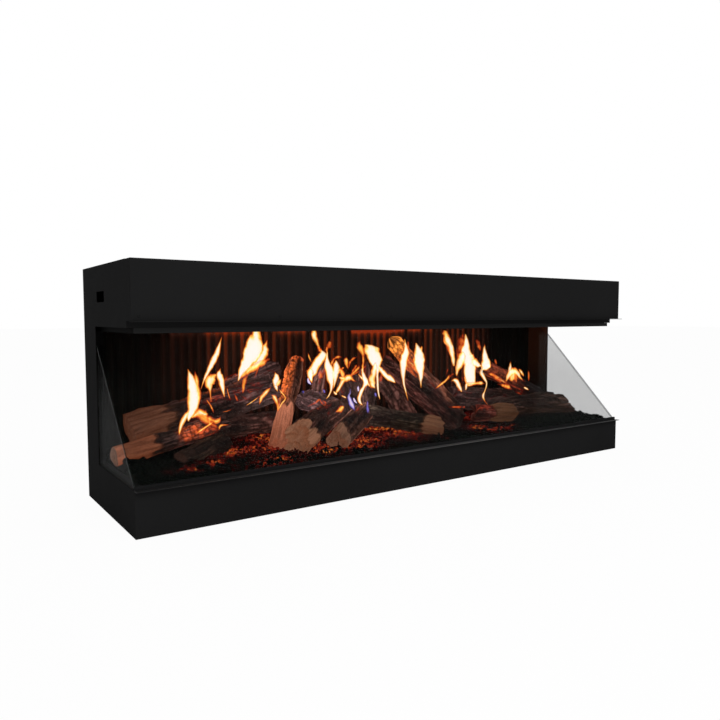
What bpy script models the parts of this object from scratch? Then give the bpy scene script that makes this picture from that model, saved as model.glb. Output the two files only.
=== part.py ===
"""A three-sided electric fireplace: a steel case, open at the front and at both ends, whose header holds
displays that face down. A large glass leans from the foot of the opening back to the header, and shows
the displays' flames among ceramic logs on a lit ember bed.

Metres, +Z up, +X along the case's length, the front towards -Y. The origin is at the middle of the box
that holds the case and its plaster lips, on the surface that the case stands on.
"""

import math

import bmesh
import bpy
from mathutils import Matrix, Vector

# Driving dimensions of the case
CASE_WIDTH = 1.850
CASE_DEPTH = 0.463
CASE_HEIGHT = 0.650
BASE_HEIGHT = 0.114
HEADER_HEIGHT = 0.160
FASCIA_HEIGHT = 0.144
FASCIA_DEPTH = 0.037
POST_DEPTH = 0.126
POST_WIDTH = 0.020
LIP_REACH = 0.015
LIP_SEAT = 0.012
BEZEL_HEIGHT = 0.013
WALL_SETBACK = 0.038

# Sheet thickness, the gap between pieces that meet, and how far a cutter passes a face
SHEET = 0.0015
GAP = 0.0003
OVERRUN = 0.004

# Faces that several pieces meet at
SIDE = CASE_WIDTH / 2
INNER_SIDE = SIDE - SHEET - GAP
FRONT = (LIP_REACH - CASE_DEPTH) / 2
REAR = FRONT + CASE_DEPTH
INNER_REAR = REAR - SHEET - GAP
POST_FRONT = REAR - POST_DEPTH
WALL_FACE = REAR - WALL_SETBACK
BEHIND_FASCIA = FRONT + FASCIA_DEPTH + GAP
FLOOR_TOP = SHEET + GAP
FASCIA_BOTTOM = CASE_HEIGHT - FASCIA_HEIGHT
HEADER_UNDERSIDE = CASE_HEIGHT - HEADER_HEIGHT
HEADER_FLOOR_TOP = HEADER_UNDERSIDE + SHEET + GAP
CHAMBER_FLOOR = BASE_HEIGHT + GAP
CHAMBER_TOP = HEADER_UNDERSIDE - BEZEL_HEIGHT - GAP
CHAMBER_HEIGHT = CHAMBER_TOP - CHAMBER_FLOOR
COVER_UNDERSIDE = CASE_HEIGHT - SHEET - GAP


def finish(name, colour, roughness, metallic=0.0, alpha=1.0):
    """The material of this name, made on first use."""
    material = bpy.data.materials.get(name)
    if material is None:
        material = bpy.data.materials.new(name)
        material.use_nodes = True
        shader = material.node_tree.nodes["Principled BSDF"]
        shader.inputs["Base Color"].default_value = (*colour, 1.0)
        shader.inputs["Roughness"].default_value = roughness
        shader.inputs["Metallic"].default_value = metallic
        shader.inputs["Alpha"].default_value = alpha
        material.diffuse_color = (*colour, alpha)
    return material


def black_steel():
    return finish("black_powder_coat", (0.013, 0.013, 0.013), 0.55)


def plated_steel():
    return finish("zinc_plated_steel", (0.45, 0.46, 0.47), 0.4, 1.0)


def matt_plastic():
    return finish("black_plastic", (0.02, 0.02, 0.02), 0.5)


def assembly(name, location=(0, 0, 0)):
    """An empty that a group of pieces is parented to."""
    empty = bpy.data.objects.new(name, None)
    empty.location = location
    bpy.context.scene.collection.objects.link(empty)
    return empty


def make_piece(name, mesh, material, parent=None, location=(0, 0, 0)):
    """An object of the mesh, with its faces turned outwards."""
    bmesh.ops.recalc_face_normals(mesh, faces=mesh.faces)
    data = bpy.data.meshes.new(name)
    mesh.to_mesh(data)
    mesh.free()
    if material is not None:
        data.materials.append(material)
    piece = bpy.data.objects.new(name, data)
    piece.parent = parent
    piece.location = location
    bpy.context.scene.collection.objects.link(piece)
    return piece


def shade_round(piece):
    """Smooth shading, with the corners kept sharp."""
    piece.data.shade_smooth()
    piece.data.set_sharp_from_angle(angle=math.radians(35))


def make_tool(name, mesh, parent=None, location=(0, 0, 0)):
    """A helper solid for a Boolean, which isn't part of the object."""
    tool = make_piece(name, mesh, None, parent, location)
    tool.hide_render = True
    tool.display_type = "WIRE"
    return tool


def apply_boolean(piece, tool, operation):
    modifier = piece.modifiers.new(f"{operation.lower()}_{tool.name}", "BOOLEAN")
    modifier.operation = operation
    modifier.object = tool


def cut(piece, mesh, label="cut", parent=None, location=(0, 0, 0)):
    apply_boolean(piece, make_tool(f"{piece.name}_{label}", mesh, parent, location), "DIFFERENCE")


def fuse(piece, mesh, label="more", parent=None, location=(0, 0, 0)):
    apply_boolean(piece, make_tool(f"{piece.name}_{label}", mesh, parent, location), "UNION")


def add_prism(mesh, outline, axis, low, high):
    """The outline, drawn across the axis, carried along it from low to high."""

    def ring(along):
        corners = []
        for pair in outline:
            values = list(pair)
            values.insert(axis, along)
            corners.append(mesh.verts.new(values))
        return corners

    first = ring(low)
    last = ring(high)
    mesh.faces.new(first)
    mesh.faces.new(last)
    for i in range(len(outline)):
        j = (i + 1) % len(outline)
        mesh.faces.new((first[i], first[j], last[j], last[i]))
    return mesh


def prism(outline, axis, low, high):
    return add_prism(bmesh.new(), outline, axis, low, high)


def add_box(mesh, low, high):
    corners = ((low[0], low[1]), (high[0], low[1]), (high[0], high[1]), (low[0], high[1]))
    return add_prism(mesh, corners, 2, low[2], high[2])


def box(low, high):
    return add_box(bmesh.new(), low, high)


def add_turned(mesh, profile, sides):
    """The profile of (radius, height) points, from axis to axis, turned about Z."""
    rings = []
    for radius, height in profile:
        count = sides if radius > 0 else 1
        angles = [2 * math.pi * i / count for i in range(count)]
        rings.append([mesh.verts.new((radius * math.cos(a), radius * math.sin(a), height)) for a in angles])
    for lower, upper in zip(rings, rings[1:]):
        for i in range(sides):
            j = i + 1
            corners = (
                lower[i % len(lower)],
                lower[j % len(lower)],
                upper[j % len(upper)],
                upper[i % len(upper)],
            )
            mesh.faces.new(dict.fromkeys(corners))
    return mesh


def rod(radius, low, high, sides):
    return add_turned(bmesh.new(), ((0, low), (radius, low), (radius, high), (0, high)), sides)


def laid_along_x(mesh):
    """The mesh turned so that its Z axis runs along X."""
    bmesh.ops.rotate(mesh, verts=mesh.verts, matrix=Matrix.Rotation(math.pi / 2, 3, "Y"))
    return mesh


def sheet_outline(path, thickness):
    """The outline of a bent sheet: the path, and the same path moved to its left by the thickness."""
    points = [Vector(point) for point in path]
    inner = []
    for i, point in enumerate(points):
        before = points[i] - points[i - 1] if i > 0 else points[1] - points[0]
        after = points[i + 1] - points[i] if i + 1 < len(points) else before
        left_before = Vector((-before.y, before.x)).normalized()
        left_after = Vector((-after.y, after.x)).normalized()
        reach = thickness / (1 + left_before.dot(left_after))
        inner.append(point + (left_before + left_after) * reach)
    return [tuple(point) for point in points] + [tuple(point) for point in reversed(inner)]


def between(low, high, share):
    return low + (high - low) * share


def spaced(count, pitch):
    """The centres of a row of things, a pitch apart, about zero."""
    return [(i - (count - 1) / 2) * pitch for i in range(count)]


# Bottom plate: a folded pan whose flanges stand up at the front and the rear
PAN_FLANGE = 0.020


def bottom_plate(parent):
    front = FRONT + SHEET + GAP
    path = ((front, PAN_FLANGE), (front, 0), (INNER_REAR, 0), (INNER_REAR, PAN_FLANGE))
    outline = sheet_outline(path, SHEET)
    make_piece("bottom_plate", prism(outline, 0, -INNER_SIDE, INNER_SIDE), black_steel(), parent)


# Base apron: the front face of the base, in front of the side panels
def base_apron(parent):
    low = (-SIDE, FRONT, 0)
    high = (SIDE, FRONT + SHEET, BASE_HEIGHT - SHEET - GAP)
    make_piece("base_apron", box(low, high), black_steel(), parent)


# Side panel: one C-shaped sheet for the header's end, the rear post and the base's end
HAND_SLOT_LENGTH = 0.078
HAND_SLOT_HEIGHT = 0.028
HAND_SLOT_FROM_FRONT = 0.2735
HAND_SLOT_FROM_TOP = 0.082


def side_panel(name, side, parent):
    base_front = FRONT + SHEET + GAP
    outline = (
        (base_front, 0),
        (REAR, 0),
        (REAR, CASE_HEIGHT),
        (BEHIND_FASCIA, CASE_HEIGHT),
        (BEHIND_FASCIA, HEADER_UNDERSIDE),
        (POST_FRONT, HEADER_UNDERSIDE),
        (POST_FRONT, BASE_HEIGHT),
        (base_front, BASE_HEIGHT),
    )
    inner = side * (SIDE - SHEET)
    outer = side * SIDE
    panel = make_piece(name, prism(outline, 0, inner, outer), black_steel(), parent)
    y = FRONT + HAND_SLOT_FROM_FRONT
    z = CASE_HEIGHT - HAND_SLOT_FROM_TOP
    low = (inner - side * OVERRUN, y - HAND_SLOT_LENGTH / 2, z - HAND_SLOT_HEIGHT / 2)
    high = (outer + side * OVERRUN, y + HAND_SLOT_LENGTH / 2, z + HAND_SLOT_HEIGHT / 2)
    cut(panel, box(low, high), "hand_slot")


# Back panel: a flat sheet with intake slots for the header, and holes for the inlet and the switch
INTAKE_COUNT = 16
INTAKE_PITCH = 0.024
INTAKE_WIDTH = 0.006
INTAKE_HEIGHT = 0.060
INTAKE_FROM_TOP = 0.070


def back_panel(parent):
    low = (-INNER_SIDE, REAR - SHEET, 0)
    high = (INNER_SIDE, REAR, CASE_HEIGHT)
    panel = make_piece("back_panel", box(low, high), black_steel(), parent)
    slots = bmesh.new()
    z = CASE_HEIGHT - INTAKE_FROM_TOP
    for x in spaced(INTAKE_COUNT, INTAKE_PITCH):
        low = (x - INTAKE_WIDTH / 2, REAR - SHEET - OVERRUN, z - INTAKE_HEIGHT / 2)
        high = (x + INTAKE_WIDTH / 2, REAR + OVERRUN, z + INTAKE_HEIGHT / 2)
        add_box(slots, low, high)
    cut(panel, slots, "intake_slots")
    holes = bmesh.new()
    for x, width, height in ((INLET_X, INLET_WIDTH, INLET_HEIGHT), (SWITCH_X, SWITCH_WIDTH, SWITCH_HEIGHT)):
        low = (x - width / 2 - GAP, REAR - SHEET - OVERRUN, POWER_ENTRY_Z - height / 2 - GAP)
        high = (x + width / 2 + GAP, REAR + OVERRUN, POWER_ENTRY_Z + height / 2 + GAP)
        add_box(holes, low, high)
    cut(panel, holes, "power_holes")


# Top cover: a flat sheet with outlet slots over each cooling fan
OUTLET_COUNT = 7
OUTLET_PITCH = 0.010
OUTLET_WIDTH = 0.005
OUTLET_LENGTH = 0.070


def top_cover(parent):
    low = (-INNER_SIDE, BEHIND_FASCIA, CASE_HEIGHT - SHEET)
    high = (INNER_SIDE, INNER_REAR, CASE_HEIGHT)
    cover = make_piece("top_cover", box(low, high), black_steel(), parent)
    slots = bmesh.new()
    for fan_x in (-FAN_X, FAN_X):
        for x in spaced(OUTLET_COUNT, OUTLET_PITCH):
            left = fan_x + x - OUTLET_WIDTH / 2
            low = (left, FAN_Y - OUTLET_LENGTH / 2, CASE_HEIGHT - SHEET - OVERRUN)
            high = (left + OUTLET_WIDTH, FAN_Y + OUTLET_LENGTH / 2, CASE_HEIGHT + OVERRUN)
            add_box(slots, low, high)
    cut(cover, slots, "outlet_slots")


# Header fascia: the screwed-on front cover, folded back at its top and at both ends
def header_fascia(parent):
    low = (-SIDE, FRONT, FASCIA_BOTTOM)
    high = (SIDE, FRONT + FASCIA_DEPTH, CASE_HEIGHT)
    fascia = make_piece("header_fascia", box(low, high), black_steel(), parent)
    low = (-SIDE + SHEET, FRONT + SHEET, FASCIA_BOTTOM - OVERRUN)
    high = (SIDE - SHEET, FRONT + FASCIA_DEPTH + OVERRUN, CASE_HEIGHT - SHEET)
    cut(fascia, box(low, high), "hollow")


# Plaster lips: thin strips that the wall boards butt against, above and below the opening
def plaster_lips(parent):
    seat = FRONT + LIP_SEAT
    upper = box(
        (-SIDE, FRONT - LIP_REACH, FASCIA_BOTTOM - GAP - SHEET),
        (SIDE, seat, FASCIA_BOTTOM - GAP),
    )
    make_piece("upper_plaster_lip", upper, black_steel(), parent)
    shoulder = FRONT + SHEET
    outline = (
        (-SIDE, FRONT - LIP_REACH),
        (SIDE, FRONT - LIP_REACH),
        (SIDE, shoulder),
        (INNER_SIDE, shoulder),
        (INNER_SIDE, seat),
        (-INNER_SIDE, seat),
        (-INNER_SIDE, shoulder),
        (-SIDE, shoulder),
    )
    lower = prism(outline, 2, BASE_HEIGHT - SHEET, BASE_HEIGHT)
    make_piece("lower_plaster_lip", lower, black_steel(), parent)


# Displays: three flat panels in a row, face down
DISPLAY_NAMES = ("left_display", "centre_display", "right_display")
DISPLAY_END_MARGIN = 0.011
DISPLAY_REAR_MARGIN = 0.108
DISPLAY_PITCH = (CASE_WIDTH - 2 * DISPLAY_END_MARGIN) / len(DISPLAY_NAMES)
DISPLAY_LENGTH = DISPLAY_PITCH - GAP
DISPLAY_DEPTH = CASE_DEPTH - DISPLAY_REAR_MARGIN
DISPLAY_THICKNESS = 0.012
DISPLAY_RIM = 0.0095
DISPLAY_SETBACK = 0.002
HUMP_HEIGHT = 0.010
HUMP_START_SHARE = 0.45
HUMP_END_SHARE = 0.80
DISPLAY_FRONT = BEHIND_FASCIA + SHEET + DISPLAY_SETBACK
DISPLAY_REAR = DISPLAY_FRONT + DISPLAY_DEPTH


def display_windows(low, high):
    """One box for each display's picture area, from low to high."""
    windows = bmesh.new()
    half = DISPLAY_LENGTH / 2 - DISPLAY_RIM
    for x in spaced(len(DISPLAY_NAMES), DISPLAY_PITCH):
        first = (x - half, DISPLAY_FRONT + DISPLAY_RIM, low)
        add_box(windows, first, (x + half, DISPLAY_REAR - DISPLAY_RIM, high))
    return windows


def displays(parent):
    top = DISPLAY_THICKNESS + HUMP_HEIGHT
    outline = (
        (0, 0),
        (DISPLAY_DEPTH, 0),
        (DISPLAY_DEPTH, DISPLAY_THICKNESS),
        (DISPLAY_DEPTH * HUMP_END_SHARE, DISPLAY_THICKNESS),
        (DISPLAY_DEPTH * HUMP_END_SHARE - HUMP_HEIGHT, top),
        (DISPLAY_DEPTH * HUMP_START_SHARE + HUMP_HEIGHT, top),
        (DISPLAY_DEPTH * HUMP_START_SHARE, DISPLAY_THICKNESS),
        (0, DISPLAY_THICKNESS),
    )
    glossy = finish("display_face", (0.01, 0.01, 0.012), 0.12)
    for name, x in zip(DISPLAY_NAMES, spaced(len(DISPLAY_NAMES), DISPLAY_PITCH)):
        mesh = prism(outline, 0, -DISPLAY_LENGTH / 2, DISPLAY_LENGTH / 2)
        make_piece(name, mesh, glossy, parent, (x, DISPLAY_FRONT, HEADER_FLOOR_TOP))


# Display straps: bars that hold the displays down on the tray, at their front and rear edges
STRAP_WIDTH = 0.018
STRAP_INSET = 0.006


def display_straps(parent):
    bottom = HEADER_FLOOR_TOP + DISPLAY_THICKNESS + GAP
    front = DISPLAY_FRONT + STRAP_INSET
    rear = DISPLAY_REAR - STRAP_INSET - STRAP_WIDTH
    for name, y in (("front_display_strap", front), ("rear_display_strap", rear)):
        mesh = box((-INNER_SIDE, y, bottom), (INNER_SIDE, y + STRAP_WIDTH, bottom + SHEET))
        make_piece(name, mesh, plated_steel(), parent)


# Header tray: a sheet bent into the header's floor and its recessed front wall
def header_tray(parent):
    path = (
        (BEHIND_FASCIA, COVER_UNDERSIDE),
        (BEHIND_FASCIA, HEADER_UNDERSIDE),
        (INNER_REAR, HEADER_UNDERSIDE),
    )
    mesh = prism(sheet_outline(path, SHEET), 0, -INNER_SIDE, INNER_SIDE)
    tray = make_piece("header_tray", mesh, black_steel(), parent)
    cut(tray, display_windows(HEADER_UNDERSIDE - OVERRUN, HEADER_FLOOR_TOP + OVERRUN), "windows")
    half = HOUSING_LENGTH / 2 - SHEET
    low = (-half, BEHIND_FASCIA - OVERRUN, HOUSING_BOTTOM + SHEET)
    high = (half, BEHIND_FASCIA + SHEET + OVERRUN, HOUSING_BOTTOM + HOUSING_HEIGHT - SHEET)
    cut(tray, box(low, high), "warm_air_window")


# Screen bezel: the frame under the tray that hides the displays' rims
BEZEL_INSET = 0.017


def screen_bezel(parent):
    half = SIDE - BEZEL_INSET
    low = (-half, BEHIND_FASCIA, HEADER_UNDERSIDE - BEZEL_HEIGHT)
    high = (half, WALL_FACE, HEADER_UNDERSIDE - GAP)
    bezel = make_piece("screen_bezel", box(low, high), black_steel(), parent)
    cut(bezel, display_windows(low[2] - OVERRUN, high[2] + OVERRUN), "windows")


# Heater: a housing behind the fascia, open to it at the front, with an intake slot in its top
HOUSING_LENGTH = 0.300
HOUSING_DEPTH = 0.100
HOUSING_HEIGHT = 0.075
HOUSING_ABOVE_FASCIA_FOOT = 0.030
INTAKE_SLOT_DEPTH = 0.040
HOUSING_BOTTOM = FASCIA_BOTTOM + HOUSING_ABOVE_FASCIA_FOOT
HOUSING_FRONT = BEHIND_FASCIA + SHEET + GAP
BLOWER_RADIUS = 0.026
BLOWER_LENGTH = 0.240
BLOWER_Y = HOUSING_FRONT + HOUSING_DEPTH - SHEET - BLOWER_RADIUS - 3 * SHEET
BLOWER_Z = HOUSING_BOTTOM + HOUSING_HEIGHT / 2
BLADE_COUNT = 18
BLADE_WIDTH = 0.008
BLADE_THICKNESS = 0.0012
BLADE_PITCH = math.radians(35)
DISC_THICKNESS = 0.002
SHAFT_RADIUS = 0.003
SHAFT_CLEARANCE = 0.0001
SHAFT_ENGAGEMENT = 0.010
SHAFT_SIDES = 16
BORE_SIDES = 24


def bore_radius(radius):
    """The corner radius of a many-sided bore whose flats clear a shaft of this radius."""
    return (radius + SHAFT_CLEARANCE) / math.cos(math.pi / BORE_SIDES)


def heater_housing(parent):
    half = HOUSING_LENGTH / 2
    rear = HOUSING_FRONT + HOUSING_DEPTH
    top = HOUSING_BOTTOM + HOUSING_HEIGHT
    mesh = box((-half, HOUSING_FRONT, HOUSING_BOTTOM), (half, rear, top))
    housing = make_piece("heater_housing", mesh, plated_steel(), parent)
    low = (-half + SHEET, HOUSING_FRONT - OVERRUN, HOUSING_BOTTOM + SHEET)
    cut(housing, box(low, (half - SHEET, rear - SHEET, top - SHEET)), "hollow")
    low = (-BLOWER_LENGTH / 2, rear - SHEET - INTAKE_SLOT_DEPTH, top - SHEET - OVERRUN)
    cut(housing, box(low, (BLOWER_LENGTH / 2, rear - SHEET, top + OVERRUN)), "intake_slot")
    reach = half + OVERRUN
    mesh = laid_along_x(rod(bore_radius(SHAFT_RADIUS), -reach, reach, BORE_SIDES))
    cut(housing, mesh, "shaft_holes", location=(0, BLOWER_Y, BLOWER_Z))


def blower_impeller(parent):
    half = BLOWER_LENGTH / 2
    end = HOUSING_LENGTH / 2 + SHAFT_ENGAGEMENT
    mesh = bmesh.new()
    for side in (-1, 1):
        profile = (
            (0, side * (half - DISC_THICKNESS)),
            (BLOWER_RADIUS, side * (half - DISC_THICKNESS)),
            (BLOWER_RADIUS, side * half),
            (SHAFT_RADIUS, side * half),
            (SHAFT_RADIUS, side * end),
            (0, side * end),
        )
        add_turned(mesh, profile, BORE_SIDES)
    middle = DISC_THICKNESS / 2
    profile = ((0, -middle), (BLOWER_RADIUS, -middle), (BLOWER_RADIUS, middle), (0, middle))
    add_turned(mesh, profile, BORE_SIDES)
    wheel = make_piece(
        "blower_impeller",
        laid_along_x(mesh),
        finish("blower_aluminium", (0.75, 0.76, 0.77), 0.35, 1.0),
        parent,
    )
    blades = bmesh.new()
    centre_radius = BLOWER_RADIUS * math.cos(math.pi / BORE_SIDES) - BLADE_WIDTH / 2
    for i in range(BLADE_COUNT):
        angle = 2 * math.pi * i / BLADE_COUNT
        centre = Vector((math.cos(angle), math.sin(angle))) * centre_radius
        along = Vector((math.cos(angle + BLADE_PITCH), math.sin(angle + BLADE_PITCH))) * BLADE_WIDTH / 2
        across = Vector((-along.y, along.x)).normalized() * BLADE_THICKNESS / 2
        corners = (centre - along - across, centre + along - across, centre + along + across)
        outline = [tuple(corner) for corner in (*corners, centre - along + across)]
        add_prism(blades, outline, 0, -half + DISC_THICKNESS / 2, half - DISC_THICKNESS / 2)
    fuse(wheel, blades, "blades", parent)


# Blower motor: a stack of laminations with a round can, on the housing's right end
MOTOR_SIZE = 0.048
MOTOR_STACK_LENGTH = 0.018
MOTOR_CAN_RADIUS = 0.018
MOTOR_LENGTH = 0.040


def blower_motor(parent):
    start = HOUSING_LENGTH / 2 + GAP
    half = MOTOR_SIZE / 2
    mesh = box((start, -half, -half), (start + MOTOR_STACK_LENGTH, half, half))
    motor = make_piece("blower_motor", mesh, finish("motor_steel", (0.2, 0.2, 0.21), 0.45, 1.0), parent)
    can_start = start + MOTOR_STACK_LENGTH / 2
    fuse(motor, laid_along_x(rod(MOTOR_CAN_RADIUS, can_start, start + MOTOR_LENGTH, BORE_SIDES)), "can", parent)
    bore_end = HOUSING_LENGTH / 2 + SHAFT_ENGAGEMENT + SHEET
    mesh = laid_along_x(rod(bore_radius(SHAFT_RADIUS), start - OVERRUN, bore_end, BORE_SIDES))
    cut(motor, mesh, "bore", parent)


# Blower bearing: a flanged brass bush on the housing's left end
BEARING_FLANGE_RADIUS = 0.012
BEARING_BODY_RADIUS = 0.007
BEARING_FLANGE = 0.003
BEARING_LENGTH = 0.014


def blower_bearing(parent):
    start = -HOUSING_LENGTH / 2 - GAP
    profile = (
        (0, start),
        (BEARING_FLANGE_RADIUS, start),
        (BEARING_FLANGE_RADIUS, start - BEARING_FLANGE),
        (BEARING_BODY_RADIUS, start - BEARING_FLANGE),
        (BEARING_BODY_RADIUS, start - BEARING_LENGTH),
        (0, start - BEARING_LENGTH),
    )
    mesh = laid_along_x(add_turned(bmesh.new(), profile, BORE_SIDES))
    bush = make_piece("blower_bearing", mesh, finish("brass", (0.72, 0.53, 0.25), 0.3, 1.0), parent)
    bore_end = -HOUSING_LENGTH / 2 - SHAFT_ENGAGEMENT - SHEET
    mesh = laid_along_x(rod(bore_radius(SHAFT_RADIUS), bore_end, start + OVERRUN, BORE_SIDES))
    cut(bush, mesh, "bore", parent)
    shade_round(bush)


# Heating element: a finned ceramic block across the housing's mouth
ELEMENT_DEPTH = 0.012
ELEMENT_SETBACK = 0.008
ELEMENT_BAR = 0.008
FIN_COUNT = 26
FIN_THICKNESS = 0.002


def heating_element(parent):
    half = HOUSING_LENGTH / 2 - SHEET - GAP
    bottom = HOUSING_BOTTOM + SHEET + GAP
    top = HOUSING_BOTTOM + HOUSING_HEIGHT - SHEET - GAP
    pitch = (2 * half - FIN_THICKNESS) / (FIN_COUNT - 1)
    outline = [(half, bottom), (-half, bottom)]
    for i, x in enumerate(spaced(FIN_COUNT, pitch)):
        if i > 0:
            outline.append((x - FIN_THICKNESS / 2, bottom + ELEMENT_BAR))
        outline.append((x - FIN_THICKNESS / 2, top))
        outline.append((x + FIN_THICKNESS / 2, top))
        if i + 1 < FIN_COUNT:
            outline.append((x + FIN_THICKNESS / 2, bottom + ELEMENT_BAR))
    outline[-1] = (half, top)
    outline[2] = (-half, top)
    front = HOUSING_FRONT + ELEMENT_SETBACK
    mesh = prism(outline, 1, front, front + ELEMENT_DEPTH)
    make_piece("heating_element", mesh, finish("heater_ceramic", (0.6, 0.58, 0.55), 0.6), parent)


# Warm air grille: closes the fascia's foot, with slots under the heater
GRILLE_SLOT_COUNT = 18
GRILLE_SLOT_WIDTH = 0.012
GRILLE_SLOT_MARGIN = 0.003


def warm_air_grille(parent):
    half = SIDE - SHEET - GAP
    front = FRONT + SHEET + GAP
    rear = FRONT + FASCIA_DEPTH
    mesh = box((-half, front, FASCIA_BOTTOM), (half, rear, FASCIA_BOTTOM + SHEET))
    grille = make_piece("warm_air_grille", mesh, black_steel(), parent)
    slots = bmesh.new()
    for x in spaced(GRILLE_SLOT_COUNT, HOUSING_LENGTH / GRILLE_SLOT_COUNT):
        low = (x - GRILLE_SLOT_WIDTH / 2, FRONT + LIP_SEAT + GRILLE_SLOT_MARGIN, FASCIA_BOTTOM - OVERRUN)
        high = (x + GRILLE_SLOT_WIDTH / 2, rear - GRILLE_SLOT_MARGIN, FASCIA_BOTTOM + SHEET + OVERRUN)
        add_box(slots, low, high)
    cut(grille, slots, "slots")


# Cooling fans: a square frame under the top cover, and a rotor on its pin
FAN_X_SHARE = 0.54
FAN_X = INNER_SIDE * FAN_X_SHARE
FAN_FROM_REAR = 0.090
FAN_Y = REAR - FAN_FROM_REAR
FAN_SIZE = 0.080
FAN_HEIGHT = 0.020
FAN_BORE = 0.038
FAN_SIDES = 32
SPIDER_THICKNESS = 0.003
SPOKE_WIDTH = 0.005
HUB_RADIUS = 0.016
HUB_RECESS = 0.002
PIN_RADIUS = 0.002
PIN_HEIGHT = 0.010
FAN_BLADE_COUNT = 7
FAN_BLADE_CHORD = 0.016
FAN_BLADE_TIP = 0.0365
FAN_BLADE_PITCH = math.radians(35)


def spider_outline(hub, reach, width):
    """A round hub with a spoke towards each corner of the frame."""
    outline = []
    half_angle = math.asin(width / 2 / hub)
    for corner in range(4):
        angle = math.pi / 4 + corner * math.pi / 2
        along = Vector((math.cos(angle), math.sin(angle)))
        across = Vector((-along.y, along.x)) * width / 2
        root = hub * math.cos(half_angle)
        outline += [along * root - across, along * reach - across, along * reach + across, along * root + across]
        for step_share in (0.25, 0.5, 0.75):
            turn = angle + half_angle + (math.pi / 2 - 2 * half_angle) * step_share
            outline.append(Vector((math.cos(turn), math.sin(turn))) * hub)
    return [tuple(point) for point in outline]


def fan_frame(name, parent):
    half = FAN_SIZE / 2
    mesh = box((-half, -half, -FAN_HEIGHT), (half, half, 0))
    frame = make_piece(name, mesh, matt_plastic(), parent)
    cut(frame, rod(FAN_BORE, -FAN_HEIGHT - OVERRUN, OVERRUN, FAN_SIDES), "bore", parent)
    spider_top = -FAN_HEIGHT + SPIDER_THICKNESS
    outline = spider_outline(HUB_RADIUS, FAN_BORE + SPOKE_WIDTH, SPOKE_WIDTH)
    fuse(frame, prism(outline, 2, -FAN_HEIGHT, spider_top), "spider", parent)
    pin_start = spider_top - SPIDER_THICKNESS / 2
    fuse(frame, rod(PIN_RADIUS, pin_start, spider_top + PIN_HEIGHT, SHAFT_SIDES), "pin", parent)


def fan_rotor(name, parent):
    low = -FAN_HEIGHT + SPIDER_THICKNESS + GAP
    high = -HUB_RECESS
    bore_top = low + PIN_HEIGHT + GAP
    bore = bore_radius(PIN_RADIUS)
    profile = ((0, bore_top), (bore, bore_top), (bore, low), (HUB_RADIUS, low), (HUB_RADIUS, high), (0, high))
    mesh = add_turned(bmesh.new(), profile, BORE_SIDES)
    rotor = make_piece(name, mesh, matt_plastic(), parent)
    blades = bmesh.new()
    middle = (low + high) / 2
    half = FAN_BLADE_CHORD / 2
    for i in range(FAN_BLADE_COUNT):
        blade = bmesh.new()
        start = HUB_RADIUS - OVERRUN
        add_box(blade, (start, -half, -BLADE_THICKNESS / 2), (FAN_BLADE_TIP, half, BLADE_THICKNESS / 2))
        bmesh.ops.rotate(blade, verts=blade.verts, matrix=Matrix.Rotation(FAN_BLADE_PITCH, 3, "X"))
        turn = Matrix.Rotation(2 * math.pi * i / FAN_BLADE_COUNT, 3, "Z")
        bmesh.ops.rotate(blade, verts=blade.verts, matrix=turn)
        bmesh.ops.translate(blade, verts=blade.verts, vec=(0, 0, middle))
        data = bpy.data.meshes.new("blade")
        blade.to_mesh(data)
        blade.free()
        blades.from_mesh(data)
        bpy.data.meshes.remove(data)
    fuse(rotor, blades, "blades", parent)


# Inclined glass: it leans at 45 degrees, from a wedge rail at the foot to one under the bezel
GLASS_FOOT_SETBACK = 0.0067
GLASS_HEAD_SETBACK = 0.0559
GLASS_RUN = WALL_FACE - GLASS_HEAD_SETBACK - FRONT - GLASS_FOOT_SETBACK
GLASS_TILT = math.atan2(CHAMBER_HEIGHT, GLASS_RUN)
GLASS_THICKNESS = 0.004
SIDE_GLASS_THICKNESS = 0.004
RAIL_SETBACK = 0.004
RAIL_DEPTH = 0.0145
RAIL_FLAT = 0.0055
RAIL_HEIGHT = 0.009
GLASS_ALONG = Vector((math.cos(GLASS_TILT), math.sin(GLASS_TILT)))
GLASS_ACROSS = Vector((-math.sin(GLASS_TILT), math.cos(GLASS_TILT)))
RAIL_RUN = RAIL_HEIGHT * math.tan(GLASS_TILT)
RAIL_REAR = FRONT + RAIL_SETBACK + RAIL_DEPTH
RAIL_SLOPE_CENTRE = Vector((RAIL_REAR - RAIL_RUN / 2, CHAMBER_FLOOR + RAIL_HEIGHT / 2))
GLASS_FOOT = RAIL_SLOPE_CENTRE + GLASS_ALONG * GAP + GLASS_ACROSS * GLASS_THICKNESS / 2
GLASS_LENGTH = (CHAMBER_TOP - GAP - GLASS_FOOT.y) / math.sin(GLASS_TILT)


def inclined_glass(parent):
    half = INNER_SIDE
    narrow = SIDE - POST_WIDTH - GAP
    rear_shift = GLASS_THICKNESS * math.sin(GLASS_TILT)
    notch = (POST_FRONT - GAP - GLASS_FOOT.x - rear_shift) / math.cos(GLASS_TILT)
    outline = (
        (-half, 0),
        (half, 0),
        (half, notch),
        (narrow, notch),
        (narrow, GLASS_LENGTH),
        (-narrow, GLASS_LENGTH),
        (-narrow, notch),
        (-half, notch),
    )
    tinted = finish("tinted_mirror_glass", (0.05, 0.055, 0.055), 0.02, alpha=0.3)
    place = (0, GLASS_FOOT.x, GLASS_FOOT.y)
    pane = make_piece("inclined_glass", prism(outline, 2, -GLASS_THICKNESS, 0), tinted, parent, place)
    pane.rotation_euler.x = GLASS_TILT


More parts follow.
